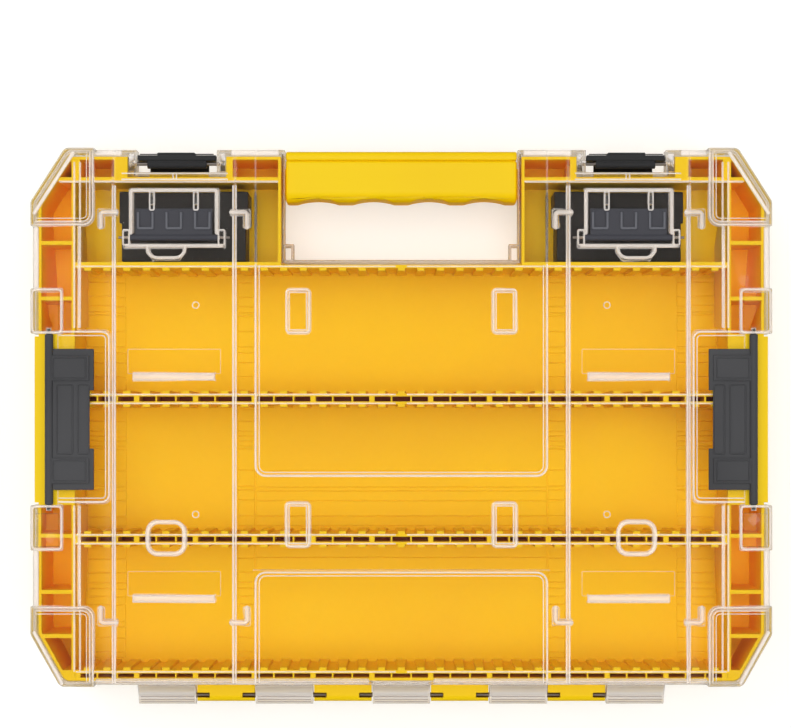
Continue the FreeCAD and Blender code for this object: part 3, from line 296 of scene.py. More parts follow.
def clearPlastic():
    mix = mixFor("clearPlastic")
    soft = mix.softNormal(clearLook["edgeRadius"], clearLook["edgeSamples"])
    edge = mix.lean(soft).ramp(*clearLook["edgeRange"])
    slope = mix.slope().ramp(*clearLook["slopeRange"])
    knuckle = mix.axis("Y", mix.place()) > clearLook["knuckleFrom"]
    flow = mix.noise(clearLook["flowScale"], 3, clearLook["flowStretch"])
    smear = mix.noise(clearLook["smearScale"], 3)
    # The lid is painted milky white along its edges and on its slopes, a painted
    # highlight.
    share = clearLook["flatMilk"] * smear + clearLook["edgeMilk"] * edge
    share = share + clearLook["slopeMilk"] * slope
    share = share + knuckle * clearLook["knuckleMilk"] * (clearLook["flowLeast"] + flow)
    return clearShader(mix, share, soft, smear, clearLook["milk"])


# The lid's rounded beads gather light and look paler than its flat parts.
beadFinish = {
    "slopeMilk": 0.5,
    "smearMilk": 0.1,
    "smearScale": 40,
    "kinds": {
        "beadPlastic": (0.34, clearLook["milk"]),
        "rimPlastic": (0.6, clearLook["milk"]),
        "faintPlastic": (0.14, clearLook["milk"]),
        "knuckleLine": (0.6, clearLook["smoke"]),
    },
}


def beadPlastic(name):
    milk, colour = beadFinish["kinds"][name]
    mix = mixFor(name)
    smear = mix.noise(beadFinish["smearScale"], 3)
    # Beads are painted whiter on their slopes, a painted highlight.
    share = milk + beadFinish["slopeMilk"] * mix.slope()
    share = share + beadFinish["smearMilk"] * smear
    return clearShader(mix, share, mix.flatNormal(), smear, colour)


steelLook = {
    "dark": paint(112, 104, 98),
    "bright": paint(146, 138, 130),
    "roughness": 0.24,
    "streakRoughness": 0.12,
    "streakScale": 900,
    "streakStretch": (0.05, 1, 1),
    "streakDepth": 0.00005,
    "streakStrength": 0.2,
}


def steelFinish():
    mix = mixFor("pinSteel")
    streaks = mix.noise(steelLook["streakScale"], 2, steelLook["streakStretch"])
    worn = streaks * steelLook["streakRoughness"]
    depth = steelLook["streakDepth"]
    inputs = {
        "Base Color": mix.blend(streaks, steelLook["dark"], steelLook["bright"]),
        "Metallic": 1.0,
        "Roughness": steelLook["roughness"] + worn,
        "Normal": mix.bump(streaks, steelLook["streakStrength"], depth),
    }
    return mix.finish(mix.shader(inputs))


moulded = {name: mouldedPlastic(name) for name in plastics}
clear = clearPlastic()
beadMade = {name: beadPlastic(name) for name in beadFinish["kinds"]}
steel = steelFinish()
print("materials made")

# The finish of each CAD node, by the start of its name.
finishes = {
    "base_tray": moulded["tray"],
    "handle_grip": moulded["yellow"],
    "handle_cover": moulded["yellow"],
    "lid": clear,
    "socket_cover": moulded["black"],
    "front_latch_pin": steel,
    "front_latch": moulded["black"],
    "side_latch": moulded["grey"],
    "stack_catch_pin": steel,
    "stack_catch": moulded["catch"],
    "hinge_pin": steel,
}


def clothe(thing, material):
    thing.data.materials.clear()
    thing.data.materials.append(material)


def finishOf(name):
    return finishes[max((key for key in finishes if name.startswith(key)), key=len)]


for name, node in nodes.items():
    clothe(node, finishOf(name))


def only(thing):
    bpy.ops.object.select_all(action="DESELECT")
    thing.select_set(True)
    bpy.context.view_layer.objects.active = thing


# In edit mode, selects the corners, edges or faces that the test picks.
def pick(thing, kind, test):
    bpy.ops.mesh.select_mode(type=kind)
    bpy.ops.mesh.select_all(action="DESELECT")
    edit = bmesh.from_edit_mesh(thing.data)
    parts = {"VERT": edit.verts, "EDGE": edit.edges, "FACE": edit.faces}[kind]
    for part in parts:
        if test(part):
            part.select_set(True)
    bmesh.update_edit_mesh(thing.data)


# How near corners merge in a copy of a moulding, and below how many degrees faces join.
copyLook = {"merge": 0.000001, "flat": 1}


# A copy of a moulding with its loose triangles merged, ready for rounding.
def mouldingCopy(name, pieceName, body):
    mesh = nodes[name].data.copy()
    thing = bpy.data.objects.new(pieceName, mesh)
    bpy.context.collection.objects.link(thing)
    only(thing)
    bpy.ops.object.mode_set(mode="EDIT")
    bpy.ops.mesh.select_all(action="SELECT")
    bpy.ops.mesh.remove_doubles(threshold=copyLook["merge"])
    bpy.ops.mesh.dissolve_limited(angle_limit=math.radians(copyLook["flat"]))
    bpy.ops.object.mode_set(mode="OBJECT")
    clothe(thing, finishOf(name))
    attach(thing, body)
    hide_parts(name)
    return thing


# Keeps broad faces flat and lets only the rounded edges shade softly.
def evenShading(thing, angle=50):
    only(thing)
    bpy.ops.object.shade_smooth_by_angle(angle=math.radians(angle))
    bpy.ops.object.modifier_add(type="WEIGHTED_NORMAL")
    thing.modifiers[-1].keep_sharp = True
    bpy.ops.object.modifier_apply(modifier=thing.modifiers[-1].name)


# Rounds the edges that stand out, and above a height where one is given.
def roundEdges(thing, width, steps, above=None, sharpest=30):
    def standsOut(edge):
        middle = (edge.verts[0].co + edge.verts[1].co) / 2
        high = above is None or middle.z > above
        return high and edge.calc_face_angle_signed(0) > math.radians(sharpest)

    only(thing)
    bpy.ops.object.mode_set(mode="EDIT")
    pick(thing, "EDGE", standsOut)
    bpy.ops.mesh.bevel(
        offset=width, segments=steps, profile=0.5, affect="EDGES", clamp_overlap=False
    )
    bpy.ops.object.mode_set(mode="OBJECT")
    evenShading(thing)


# Each shift is a middle and reach in x, the front and rear in y, and the way moved.
lidShape = {
    "ridgeRound": 0.0006,
    "ridgeSteps": 3,
    "outside": 0.0731,
    "low": 0.0749,
    "shifts": {
        "innerRib": (0.11603, 0.0015, -0.1405, -0.1315, 0.0059),
        "outerRib": (0.15387, 0.0015, -0.1405, -0.1315, -0.0059),
        "bail": (0.13495, 0.0135, -0.1072, -0.098, 0.00455),
    },
}
lidPiece = mouldingCopy("lid", "lidMoulding", "lid")


# Brings the ribs and the bail of each catch's frame to their places, on both sides.
def shiftRibs(thing, middle, reach, front, rear, shift):
    for side in (1, -1):

        def onRib(vert):
            near = abs(vert.co.x * side - middle) < reach
            return near and front < vert.co.y < rear and vert.co.z > lidShape["low"]

        only(thing)
        bpy.ops.object.mode_set(mode="EDIT")
        pick(thing, "VERT", onRib)
        bpy.ops.transform.translate(value=(shift * side, 0, 0))
        bpy.ops.object.mode_set(mode="OBJECT")


for place in lidShape["shifts"].values():
    shiftRibs(lidPiece, *place)
roundEdges(
    lidPiece, lidShape["ridgeRound"], lidShape["ridgeSteps"], above=lidShape["outside"]
)
print("lid rounded", len(lidPiece.data.polygons))


# Gives a new piece its name, finish and body.
def settle(thing, name, material, body, smooth=40):
    thing.name = name
    thing.data.name = name
    clothe(thing, material)
    only(thing)
    bpy.ops.object.shade_smooth_by_angle(angle=math.radians(smooth))
    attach(thing, body)
    return thing


# The same piece on the other side of the case, with a mesh of its own.
def mirrored(piece, name, material, body):
    only(piece)
    bpy.ops.object.duplicate(linked=False)
    twin = bpy.context.object
    bpy.ops.object.mode_set(mode="EDIT")
    bpy.ops.mesh.select_all(action="SELECT")
    bpy.ops.transform.resize(value=(-1, 1, 1), center_override=(0, 0, 0))
    bpy.ops.mesh.normals_make_consistent(inside=False)
    bpy.ops.object.mode_set(mode="OBJECT")
    return settle(twin, name, material, body)


# The sides of a bead, the degrees of each step of a turn, and the shape of its ends.
beadLook = {
    "sides": 12,
    "turnStep": 15,
    "merge": 0.00001,
    "nose": 0.8,
    "noseSteps": (0.5, 0.87, 1.0),
    "noseRound": 1.01,
}


# Draws one flat end of a bead out into a rounded nose.
def roundEnd(thing, place, ahead, nose):
    def isEnd(face):
        flat = len(face.verts) == beadLook["sides"]
        return flat and (face.calc_center_median() - place).length < nose

    pick(thing, "FACE", isEnd)
    reached = 0
    size = 1
    for part in beadLook["noseSteps"]:
        step = ahead * nose * (part - reached)
        bpy.ops.mesh.extrude_region_move(TRANSFORM_OT_translate={"value": step})
        place = place + step
        wanted = math.sqrt(beadLook["noseRound"] - part ** 2)
        share = wanted / size
        bpy.ops.transform.resize(value=(share, share, share), center_override=place)
        reached = part
        size = wanted


# Sweeps a small oval along the lid. Each stretch is a turn in degrees with its
# radius, or a turn of nought with its length.
def sweep(size, start, heading, stretches, closed=False):
    wide, high = size
    zero = (0, 0, 0)
    bpy.ops.object.select_all(action="DESELECT")
    bpy.ops.mesh.primitive_circle_add(vertices=beadLook["sides"], radius=wide)
    thing = bpy.context.object
    bpy.ops.object.mode_set(mode="EDIT")
    bpy.ops.mesh.select_mode(type="VERT")
    bpy.ops.mesh.select_all(action="SELECT")
    bpy.ops.transform.resize(value=(1, high / wide, 1), center_override=zero)
    for axis, angle in (("X", 90), ("Z", 90 - heading)):
        bpy.ops.transform.rotate(
            value=math.radians(angle), orient_axis=axis, center_override=zero
        )
    bpy.ops.transform.translate(value=start)
    place = Vector(start)
    angle = math.radians(heading)
    ahead = Vector((math.cos(angle), math.sin(angle), 0))
    firstAhead = ahead
    for turn, amount in stretches:
        if turn == 0:
            step = ahead * amount
            bpy.ops.mesh.extrude_region_move(TRANSFORM_OT_translate={"value": step})
            place = place + step
        else:
            side = Vector((-ahead.y, ahead.x, 0)) * math.copysign(1, turn)
            centre = place + side * amount
            bpy.ops.mesh.spin(
                steps=max(2, round(abs(turn) / beadLook["turnStep"])),
                angle=math.radians(-turn),
                center=centre,
                axis=(0, 0, 1),
            )
            turned = Matrix.Rotation(math.radians(turn), 3, "Z")
            place = centre + turned @ (place - centre)
            ahead = turned @ ahead
    bpy.ops.mesh.select_all(action="SELECT")
    bpy.ops.mesh.remove_doubles(threshold=beadLook["merge"])
    if not closed:
        bpy.ops.mesh.fill_holes(sides=0)
        nose = min(wide, high) * beadLook["nose"]
        roundEnd(thing, Vector(start), -firstAhead, nose)
        roundEnd(thing, place, ahead, nose)
        bpy.ops.mesh.select_all(action="SELECT")
    bpy.ops.mesh.normals_make_consistent(inside=False)
    bpy.ops.object.mode_set(mode="OBJECT")
    return thing


# Each kind's finish, the bodies that it rides on right and left, and its slot.
beadKinds = {
    "lid": (beadMade["beadPlastic"], "lid", "lid", "clear_plastic"),
    "rim": (beadMade["rimPlastic"], "lid", "lid", "clear_plastic"),
    "faint": (beadMade["faintPlastic"], "lid", "lid", "clear_plastic"),
    "smoky": (beadMade["knuckleLine"], "lid", "lid", "clear_plastic"),
    "catchRim": (
        moulded["catchRim"],
        "stack_catch_right",
        "stack_catch_left",
        "black_plastic",
    ),
    "sideLatch": (
        moulded["grey"],
        "side_latch_right",
        "side_latch_left",
        "grey_plastic",
    ),
    "frontLatch": (
        moulded["black"],
        "front_latch_right",
        "front_latch_left",
        "black_plastic",
    ),
}


def bead(name, size, start, heading, stretches, closed=False, kind="lid"):
    material, body, _, slot = beadKinds[kind]
    piece = sweep(size, start, heading, stretches, closed)
    return settle(piece, name, material, body)


def pairOfBeads(name, size, start, heading, stretches, closed=False, kind="lid"):
    material, _, leftBody, slot = beadKinds[kind]
    piece = bead(name + "Right", size, start, heading, stretches, closed, kind)
    mirrored(piece, name + "Left", material, leftBody)


def pairOfLines(name, size, start, heading, length, kind="lid"):
    pairOfBeads(name, size, start, heading, [(0, length)], kind=kind)


# Closed lines with four sides and round corners, from the middle of the front side.
def pairOfRings(name, size, start, wide, deep, corner, kind="lid"):
    across = wide - 2 * corner
    bend = [(90, corner), (0, deep - 2 * corner), (90, corner)]
    run = [(0, across / 2)] + bend + [(0, across)] + bend + [(0, across / 2)]
    pairOfBeads(name, size, start, 0, run, closed=True, kind=kind)


# An open run of three sides with round corners.
def openRun(leg, across, corner, turn=-90):
    return [(0, leg), (turn, corner), (0, across), (turn, corner), (0, leg)]


loopShape = {
    "x": 0.13965,
    "y": 0.0655,
    "z": 0.07872,
    "wide": 0.0218,
    "deep": 0.0191,
    "corner": 0.0062,
    "size": (0.00125, 0.0012),
}
pairOfRings(
    "stackLoop",
    loopShape["size"],
    (loopShape["x"], loopShape["y"] - loopShape["deep"] / 2, loopShape["z"]),
    loopShape["wide"],
    loopShape["deep"],
    loopShape["corner"],
)

# The L-shaped marks on the lid's fields.
markShape = {
    "size": (0.0012, 0.0012),
    "z": 0.07872,
    "frontArm": -0.1278,
    "rearArm": 0.1157,
    "innerFrom": 0.1012,
    "outerFrom": 0.1687,
    "arm": 0.008,
    "corner": 0.0016,
    "leg": 0.0076,
}
for name, fromX, heading, armY, turn in (
    ("frontInnerMark", markShape["innerFrom"], 180, markShape["frontArm"], -90),
    ("frontOuterMark", markShape["outerFrom"], 0, markShape["frontArm"], 90),
    ("rearInnerMark", markShape["innerFrom"], 180, markShape["rearArm"], 90),
    ("rearOuterMark", markShape["outerFrom"], 0, markShape["rearArm"], -90),
):
    pairOfBeads(
        name,
        markShape["size"],
        (fromX, armY, markShape["z"]),
        heading,
        [(0, markShape["arm"]), (turn, markShape["corner"]), (0, markShape["leg"])],
    )

barShape = {
    "size": (0.0022, 0.0012),
    "z": 0.07872,
    "from": 0.1115,
    "length": 0.0469,
    "places": {"frontBar": -0.0303, "rearBar": 0.1015},
}
for name, y in barShape["places"].items():
    start = (barShape["from"], y, barShape["z"])
    pairOfLines(name, barShape["size"], start, 0, barShape["length"])

# Faint rectangles on the lid, in front of the bars.
patchShape = {
    "size": (0.0001, 0.0001),
    "x": 0.1348,
    "z": 0.0776,
    "wide": 0.055,
    "deep": 0.0145,
    "corner": 0.0006,
    "places": {"frontPatch": -0.0466, "rearPatch": 0.0854},
}
for name, y in patchShape["places"].items():
    pairOfRings(
        name,
        patchShape["size"],
        (patchShape["x"], y, patchShape["z"]),
        patchShape["wide"],
        patchShape["deep"],
        patchShape["corner"],
    )

# Raised rings, each with an outer and an inner line, given by inset and thickness.
ringShape = {
    "x": 0.0614,
    "z": 0.07925,
    "wide": 0.0148,
    "deep": 0.0268,
    "corner": 0.0026,
    "leastCorner": 0.0006,
    "lines": {"Outer": (0.0007, 0.00065), "Inner": (0.0022, 0.00035)},
    "places": {"frontRing": -0.0692, "rearRing": 0.0576},
}
for name, y in ringShape["places"].items():
    for line, (inset, thick) in ringShape["lines"].items():
        deep = ringShape["deep"] - 2 * inset
        pairOfRings(
            name + line,
            (thick, thick),
            (ringShape["x"], y - deep / 2, ringShape["z"]),
            ringShape["wide"] - 2 * inset,
            deep,
            max(ringShape["corner"] - inset, ringShape["leastCorner"]),
        )

# The frame round each stack catch, with the foot and the bail behind it.
frameShape = {
    "x": 0.13495,
    "z": 0.0788,
    "half": 0.02545,
    "front": -0.14085,
    "open": -0.1153,
    "corner": 0.0012,
    "size": (0.00095, 0.00095),
    "footY": -0.10785,
    "footHalf": 0.0283,
    "bailX": 0.1395,
    "bailHalf": 0.0112,
    "bailLeg": 0.001,
    "bailCorner": 0.006,
    "bailSize": (0.0009, 0.0009),
}
pairOfBeads(
    "catchFrame",
    frameShape["size"],
    (frameShape["x"] + frameShape["half"], frameShape["open"], frameShape["z"]),
    -90,
    openRun(
        frameShape["open"] - frameShape["front"] - frameShape["corner"],
        2 * (frameShape["half"] - frameShape["corner"]),
        frameShape["corner"],
    ),
)
pairOfLines(
    "catchFoot",
    frameShape["size"],
    (frameShape["x"] - frameShape["footHalf"], frameShape["footY"], frameShape["z"]),
    0,
    2 * frameShape["footHalf"],
)
bailX = frameShape["bailX"] - frameShape["bailHalf"]
pairOfBeads(
    "catchBail",
    frameShape["bailSize"],
    (bailX, frameShape["footY"], frameShape["z"]),
    90,
    openRun(
        frameShape["bailLeg"],
        2 * (frameShape["bailHalf"] - frameShape["bailCorner"]),
        frameShape["bailCorner"],
    ),
)

# Lines where the lid's fields step down, each a bold bead with a finer one beside it.
stepShape = {
    "Bold": {"size": (0.0006, 0.0006), "z": 0.07705},
    "Fine": {"size": (0.00035, 0.00035), "z": 0.0752},
    "bayFront": -0.1435,
    "bayRear": 0.1515,
    "bayLines": {
        "bayInner": {"Bold": 0.09985, "Fine": 0.0981},
        "bayOuter": {"Bold": 0.17005, "Fine": 0.1718},
    },
    "panelHalf": 0.0866,
    "panelStep": {"Bold": 0, "Fine": 0.0021},
    "panelCorner": 0.0062,
    "panels": {"frontPanel": (-0.0965, 0.0287), "rearPanel": (0.1515, 0.086)},
    "bedInner": 0.1736,
    "bedFront": -0.057,
    "bedRear": 0.0441,
    "bedStep": {"Bold": 0, "Fine": 0.0022},
    "bedCorner": 0.0045,
    "bedEnd": 0.2035,
}
for name, lines in stepShape["bayLines"].items():
    for line, x in lines.items():
        pairOfLines(
            name + line,
            stepShape[line]["size"],
            (x, stepShape["bayFront"], stepShape[line]["z"]),
            90,
            stepShape["bayRear"] - stepShape["bayFront"],
        )

for name, (far, near) in stepShape["panels"].items():
    toward = 90 if near > far else -90
    for line, inset in stepShape["panelStep"].items():
        half = stepShape["panelHalf"] - inset
        corner = stepShape["panelCorner"] - inset
        bead(
            name + line,
            stepShape[line]["size"],
            (-half, far, stepShape[line]["z"]),
            toward,
            openRun(
                abs(near - far) - inset - corner, 2 * (half - corner), corner, -toward
            ),
        )

for line, inset in stepShape["bedStep"].items():
    front = stepShape["bedFront"] + inset
    rear = stepShape["bedRear"] - inset
    corner = stepShape["bedCorner"] - inset
    pairOfBeads(
        "latchBed" + line,
        stepShape[line]["size"],
        (stepShape["bedEnd"], front, stepShape[line]["z"]),
        180,
        openRun(
            stepShape["bedEnd"] - (stepShape["bedInner"] + inset) - corner,
            rear - front - 2 * corner,
            corner,
        ),
    )

# Three rounded lines, one inside the other, on each raised corner of the lid. Each
# end of the case has the line's y, how far it runs, and its way outwards.
padShape = {
    "lines": {
        "Outer": (0, 0.0005),
        "Middle": (0.0019, 0.0004),
        "Inner": (0.0037, 0.0003),
    },
    "x": 0.183,
    "z": 0.07945,
    "corner": 0.0062,
    "ends": {"frontPad": (-0.1205, -0.163, -1), "rearPad": (0.1068, 0.151, 1)},
    "end": 0.2165,
}
for line, (inset, thick) in padShape["lines"].items():
    x = padShape["x"] + inset
    corner = padShape["corner"] - inset
    for name, (edge, far, way) in padShape["ends"].items():
        y = edge + way * inset
        pairOfBeads(
            name + line,
            (thick, thick),
            (x, far, padShape["z"]),
            -way * 90,
            [
                (0, abs(far - y) - corner),
                (way * 90, corner),
                (0, padShape["end"] - x - corner),
            ],
        )

# The raised boxes beside the side latches.
boxShape = {
    "size": (0.0007, 0.0007),
    "z": 0.0792,
    "x": 0.2103,
    "wide": 0.0172,
    "deep": 0.0254,
    "corner": 0.0022,
    "places": {"frontBox": -0.0692, "rearBox": 0.0594},
}
for name, y in boxShape["places"].items():
    pairOfRings(
        name,
        boxShape["size"],
        (boxShape["x"], y - boxShape["deep"] / 2, boxShape["z"]),
        boxShape["wide"],
        boxShape["deep"],
        boxShape["corner"],
    )

# The lid's rim, painted pale where it turns down, a painted highlight. Each run has
# its level, its kind, its start, heading and length.
rimShape = {
    "low": {"size": (0.0016, 0.0012), "z": 0.0737},
    "high": {"size": (0.0011, 0.001), "z": 0.0789},
    "runs": {
        "sideFront": ("low", "rim", (0.2172, -0.1185), 90, 0.035),
        "sideRear": ("low", "rim", (0.2172, 0.0735), 90, 0.032),
        "frontInner": ("low", "rim", (0.0735, -0.1633), 0, 0.027),
        "frontOuter": ("low", "rim", (0.167, -0.1633), 0, 0.014),
        "frontChamfer": ("high", "rim", (0.2178, -0.1272), -122.9, 0.0425),
        "rearChamfer": ("high", "rim", (0.2178, 0.1215), 118.7, 0.0345),
        "rear": ("low", "faint", (0.02, 0.1508), 0, 0.161),
    },
}
for name, (level, kind, (x, y), heading, length) in rimShape["runs"].items():
    start = (x, y, rimShape[level]["z"])
    pairOfLines(name + "Rim", rimShape[level]["size"], start, heading, length, kind)

# Small ring marks where the mould's pins pressed the lid out.
pinMarkShape = {
    "size": (0.0003, 0.0003),
    "radius": 0.0019,
    "x": 0.1221,
    "z": 0.07758,
    "places": {"frontPinMark": -0.0728, "rearPinMark": 0.0515},
}
for name, y in pinMarkShape["places"].items():
    pairOfBeads(
        name,
        pinMarkShape["size"],
        (pinMarkShape["x"], y - pinMarkShape["radius"], pinMarkShape["z"]),
        0,
        [(180, pinMarkShape["radius"]), (180, pinMarkShape["radius"])],
        closed=True,
    )

# Ribs under the lid that meet the tops of the tray's walls.
sealShape = {
    "size": (0.00045, 0.00022),
    "z": 0.07276,
    "x": 0.0035,
    "length": 0.19,
    "places": (-0.096, -0.01975, -0.01445, 0.06375, 0.06905, 0.1453),
    "sides": {"Inner": 0.1912, "Outer": 0.1946},
    "sideSize": (0.0006, 0.00022),
    "sideRuns": {"Front": (-0.158, 0.0985), "Rear": (0.0465, 0.0985)},
    "towerY": -0.1464,
    "towerFrom": 0.0735,
    "towerLength": 0.13,
}
for count, y in enumerate(sealShape["places"]):
    start = (sealShape["x"], y, sealShape["z"])
    pairOfLines("sealRib%d" % count, sealShape["size"], start, 0, sealShape["length"])
for side, x in sealShape["sides"].items():
    for place, (y, length) in sealShape["sideRuns"].items():
        name = "sideSeal" + place + side
        pairOfLines(name, sealShape["sideSize"], (x, y, sealShape["z"]), 90, length)
pairOfLines(
    "towerSeal",
    sealShape["sideSize"],
    (sealShape["towerFrom"], sealShape["towerY"], sealShape["z"]),
    0,
    sealShape["towerLength"],
)

# Two short ribs in each catch's frame, and the blocks that hold its pin.
catchShape = {
    "size": (0.0005, 0.0005),
    "corner": 0.0008,
    "sides": {"Inner": -1, "Outer": 1},
    "ribReach": 0.01305,
    "ribFrom": -0.14,
    "ribWide": 0.0025,
    "ribDeep": 0.0108,
    "ribZ": 0.0789,
    "blockReach": 0.0283,
    "blockY": -0.1129,
    "blockWide": 0.0036,
    "blockDeep": 0.0088,
    "blockZ": 0.0793,
}
for side, way in catchShape["sides"].items():
    x = frameShape["x"] + way * catchShape["ribReach"]
    pairOfRings(
        "catchRib" + side,
        catchShape["size"],
        (x, catchShape["ribFrom"], catchShape["ribZ"]),
        catchShape["ribWide"],
        catchShape["ribDeep"],
        catchShape["corner"],
    )
    x = frameShape["x"] + way * catchShape["blockReach"]
    y = catchShape["blockY"] - catchShape["blockDeep"] / 2
    pairOfRings(
        "pinBlock" + side,
        catchShape["size"],
        (x, y, catchShape["blockZ"]),
        catchShape["blockWide"],
        catchShape["blockDeep"],
        catchShape["corner"],
    )

# Lines along the lid's notch above each front latch, and two short ones across it.
notchShape = {
    "z": 0.0753,
    "from": 0.1035,
    "length": 0.0625,
    "lines": {"notchNear": (-0.1476, 0.0005), "notchFar": (-0.1512, 0.0004)},
    "tickSize": (0.0004, 0.0004),
    "tickY": -0.1508,
    "tickLength": 0.0028,
    "ticks": {"tickInner": 0.1337, "tickOuter": 0.1357},
}
for name, (y, thick) in notchShape["lines"].items():
    start = (notchShape["from"], y, notchShape["z"])
    pairOfLines(name, (thick, thick), start, 0, notchShape["length"])
for name, x in notchShape["ticks"].items():
    start = (x, notchShape["tickY"], notchShape["z"])
    pairOfLines(name, notchShape["tickSize"], start, 90, notchShape["tickLength"])

# The raised lines round the three windows of each stack catch, painted lighter than the
# catch as a painted highlight.
windowShape = {
    "size": (0.0007, 0.0003),
    "reach": 0.0169,
    "y": -0.1276,
    "z": 0.0793,
    "half": 0.0043,
    "deep": 0.0093,
    "corner": 0.0006,
}
for count in (-1, 0, 1):
    x = frameShape["x"] + count * windowShape["reach"] - windowShape["half"]
    pairOfBeads(
        "windowRim%d" % (count + 1),
        windowShape["size"],
        (x, windowShape["y"], windowShape["z"]),
        90,
        openRun(
            windowShape["deep"] - windowShape["corner"],
            2 * (windowShape["half"] - windowShape["corner"]),
            windowShape["corner"],
        ),
        kind="catchRim",
    )

# Fine grey lines along the hinge's clear knuckles.
knuckleShape = {
    "centres": (0.0702, 0.1404),
    "half": 0.0158,
    "thick": 0.00028,
    "axisY": 0.1607,
    "axisZ": 0.052,
    "radius": 0.0054,
    "lines": (-0.0026, -0.0006, 0.0008, 0.0024, 0.0038),
}
for line, offset in enumerate(knuckleShape["lines"]):
    half = knuckleShape["half"]
    size = (knuckleShape["thick"], knuckleShape["thick"])
    y = knuckleShape["axisY"] + offset
    rise = math.sqrt(knuckleShape["radius"] ** 2 - offset ** 2)
    z = knuckleShape["axisZ"] + rise - knuckleShape["thick"] / 2
    for count, x in enumerate(knuckleShape["centres"]):
        name = "flowLine%d_%d" % (count, line)
        pairOfLines(name, size, (x - half, y, z), 0, 2 * half, "smoky")
    name = "flowLineMiddle_%d" % line
    bead(name, size, (-half, y, z), 0, [(0, 2 * half)], kind="smoky")
print("lid lines made")

# Raised lines on the side latches' pads and along their plates. Each has its middle,
# its two sides and its corners.
latchLines = {
    "size": (0.0005, 0.0005),
    "runs": {
        "padFront": (0.1969, -0.0354, 0.0789, 0.0192, 0.0124, 0.0012),
        "padRear": (0.1969, 0.0256, 0.0789, 0.0192, 0.0124, 0.0012),
        "plateOuter": (0.1998, -0.0049, 0.0776, 0.0092, 0.0408, 0.001),
        "plateInner": (0.1887, -0.0049, 0.0776, 0.0064, 0.0408, 0.001),
    },
}
for name, (x, y, z, wide, deep, corner) in latchLines["runs"].items():
    start = (x, y - deep / 2, z)
    size = latchLines["size"]
    pairOfRings(name + "Line", size, start, wide, deep, corner, "sideLatch")

# Grip lines across the front latches' plates, each with its start and its length.
gripLines = {
    "size": (0.00035, 0.00035),
    "runs": {
        "gripEdge": ((0.1118, -0.1626, 0.074), 0.0436),
        "gripRoot": ((0.1118, -0.1595, 0.074), 0.0436),
        "bodyLine": ((0.1175, -0.1578, 0.073), 0.0322),
    },
}
for name, (start, length) in gripLines["runs"].items():
    pairOfLines(name, gripLines["size"], start, 0, length, "frontLatch")
print("latch lines made")


# One piece of several plain blocks, each given by its lowest and highest corner.
def blocks(name, boxes, edgeRound, material, body, steps=1):
    bpy.ops.object.select_all(action="DESELECT")
    bpy.ops.mesh.primitive_cube_add(size=1)
    thing = bpy.context.object
    bpy.ops.object.mode_set(mode="EDIT")
    bpy.ops.mesh.select_mode(type="VERT")
    bpy.ops.mesh.select_all(action="SELECT")
    bpy.ops.mesh.delete(type="VERT")
    for low, high in boxes:
        middle = [(a + b) / 2 for a, b in zip(low, high)]
        spread = [b - a for a, b in zip(low, high)]
        bpy.ops.mesh.primitive_cube_add(size=1, location=middle, scale=spread)
    bpy.ops.mesh.select_all(action="SELECT")
    bpy.ops.mesh.bevel(offset=edgeRound, segments=steps, affect="EDGES")
    bpy.ops.mesh.normals_make_consistent(inside=False)
    bpy.ops.object.mode_set(mode="OBJECT")
    return settle(thing, name, material, body)


# Shallow steps in the rows' floors, with a fine groove between each two. The strips
# and the middle are ranges of x, and the rows hold the places of the grooves in y.
reliefShape = {
    "strips": {"Side": (0.1694, 0.1936), "Bay": (0.0902, 0.1014)},
    "middle": (-0.0893, 0.0893),
    "groove": 0.0005,
    "low": 0.0097,
    "heights": (0.0105, 0.0107, 0.01055, 0.0108, 0.0106),
    "edgeRound": 0.00012,
    "rows": {
        "front": (
            -0.0925, -0.0892, -0.0803, -0.0745, -0.0706, -0.0686,
            -0.0592, -0.0496, -0.0458, -0.0399, -0.0312, -0.0228,
        ),
        "middleRow": (
            -0.0114, -0.0041, 0.0021, 0.0051, 0.0082, 0.0113, 0.0131,
            0.0261, 0.0359, 0.0384, 0.0446, 0.0544, 0.0606,
        ),
        "rear": (
            0.0722, 0.0803, 0.0889, 0.0951, 0.0988, 0.1038,
            0.1087, 0.1192, 0.1225, 0.1294, 0.1383, 0.1418,
        ),
    },
    "middleParts": {"middleRow": (7, 12), "rear": (0, 2)},
}


def floorRelief(name, xRange, places):
    boxes = []
    gap = reliefShape["groove"] / 2
    heights = reliefShape["heights"]
    for count, (low, high) in enumerate(zip(places, places[1:])):
        bottom = (xRange[0], low + gap, reliefShape["low"])
        top = (xRange[1], high - gap, heights[count % len(heights)])
        boxes.append((bottom, top))
    edgeRound = reliefShape["edgeRound"]
    return blocks(name, boxes, edgeRound, moulded["yellow"], "tray")


for row, places in reliefShape["rows"].items():
    for strip, xRange in reliefShape["strips"].items():
        name = row + strip + "Relief"
        piece = floorRelief(name + "Right", xRange, places)
        mirrored(piece, name + "Left", moulded["yellow"], "tray")
for row, (first, last) in reliefShape["middleParts"].items():
    places = reliefShape["rows"][row][first : last + 1]
    floorRelief(row + "MiddleRelief", reliefShape["middle"], places)

# The webs that close the double walls and the rear wall below their open cells.
# Their dark red-brown colour is a painted shade for the deep cells.
cellShape = {
    "x": 0.1935,
    "low": 0.043,
    "high": 0.045,
    "edgeRound": 0.0002,
    "runs": {
        "first": (-0.0188, -0.0154),
        "second": (0.0647, 0.0681),
        "rear": (0.146, 0.149),
    },
}
for name, (near, far) in cellShape["runs"].items():
    low = (-cellShape["x"], near, cellShape["low"])
    high = (cellShape["x"], far, cellShape["high"])
    edgeRound = cellShape["edgeRound"]
    name = name + "CellWeb"
    blocks(name, [(low, high)], edgeRound, moulded["cell"], "tray")
print("floors and cells made")

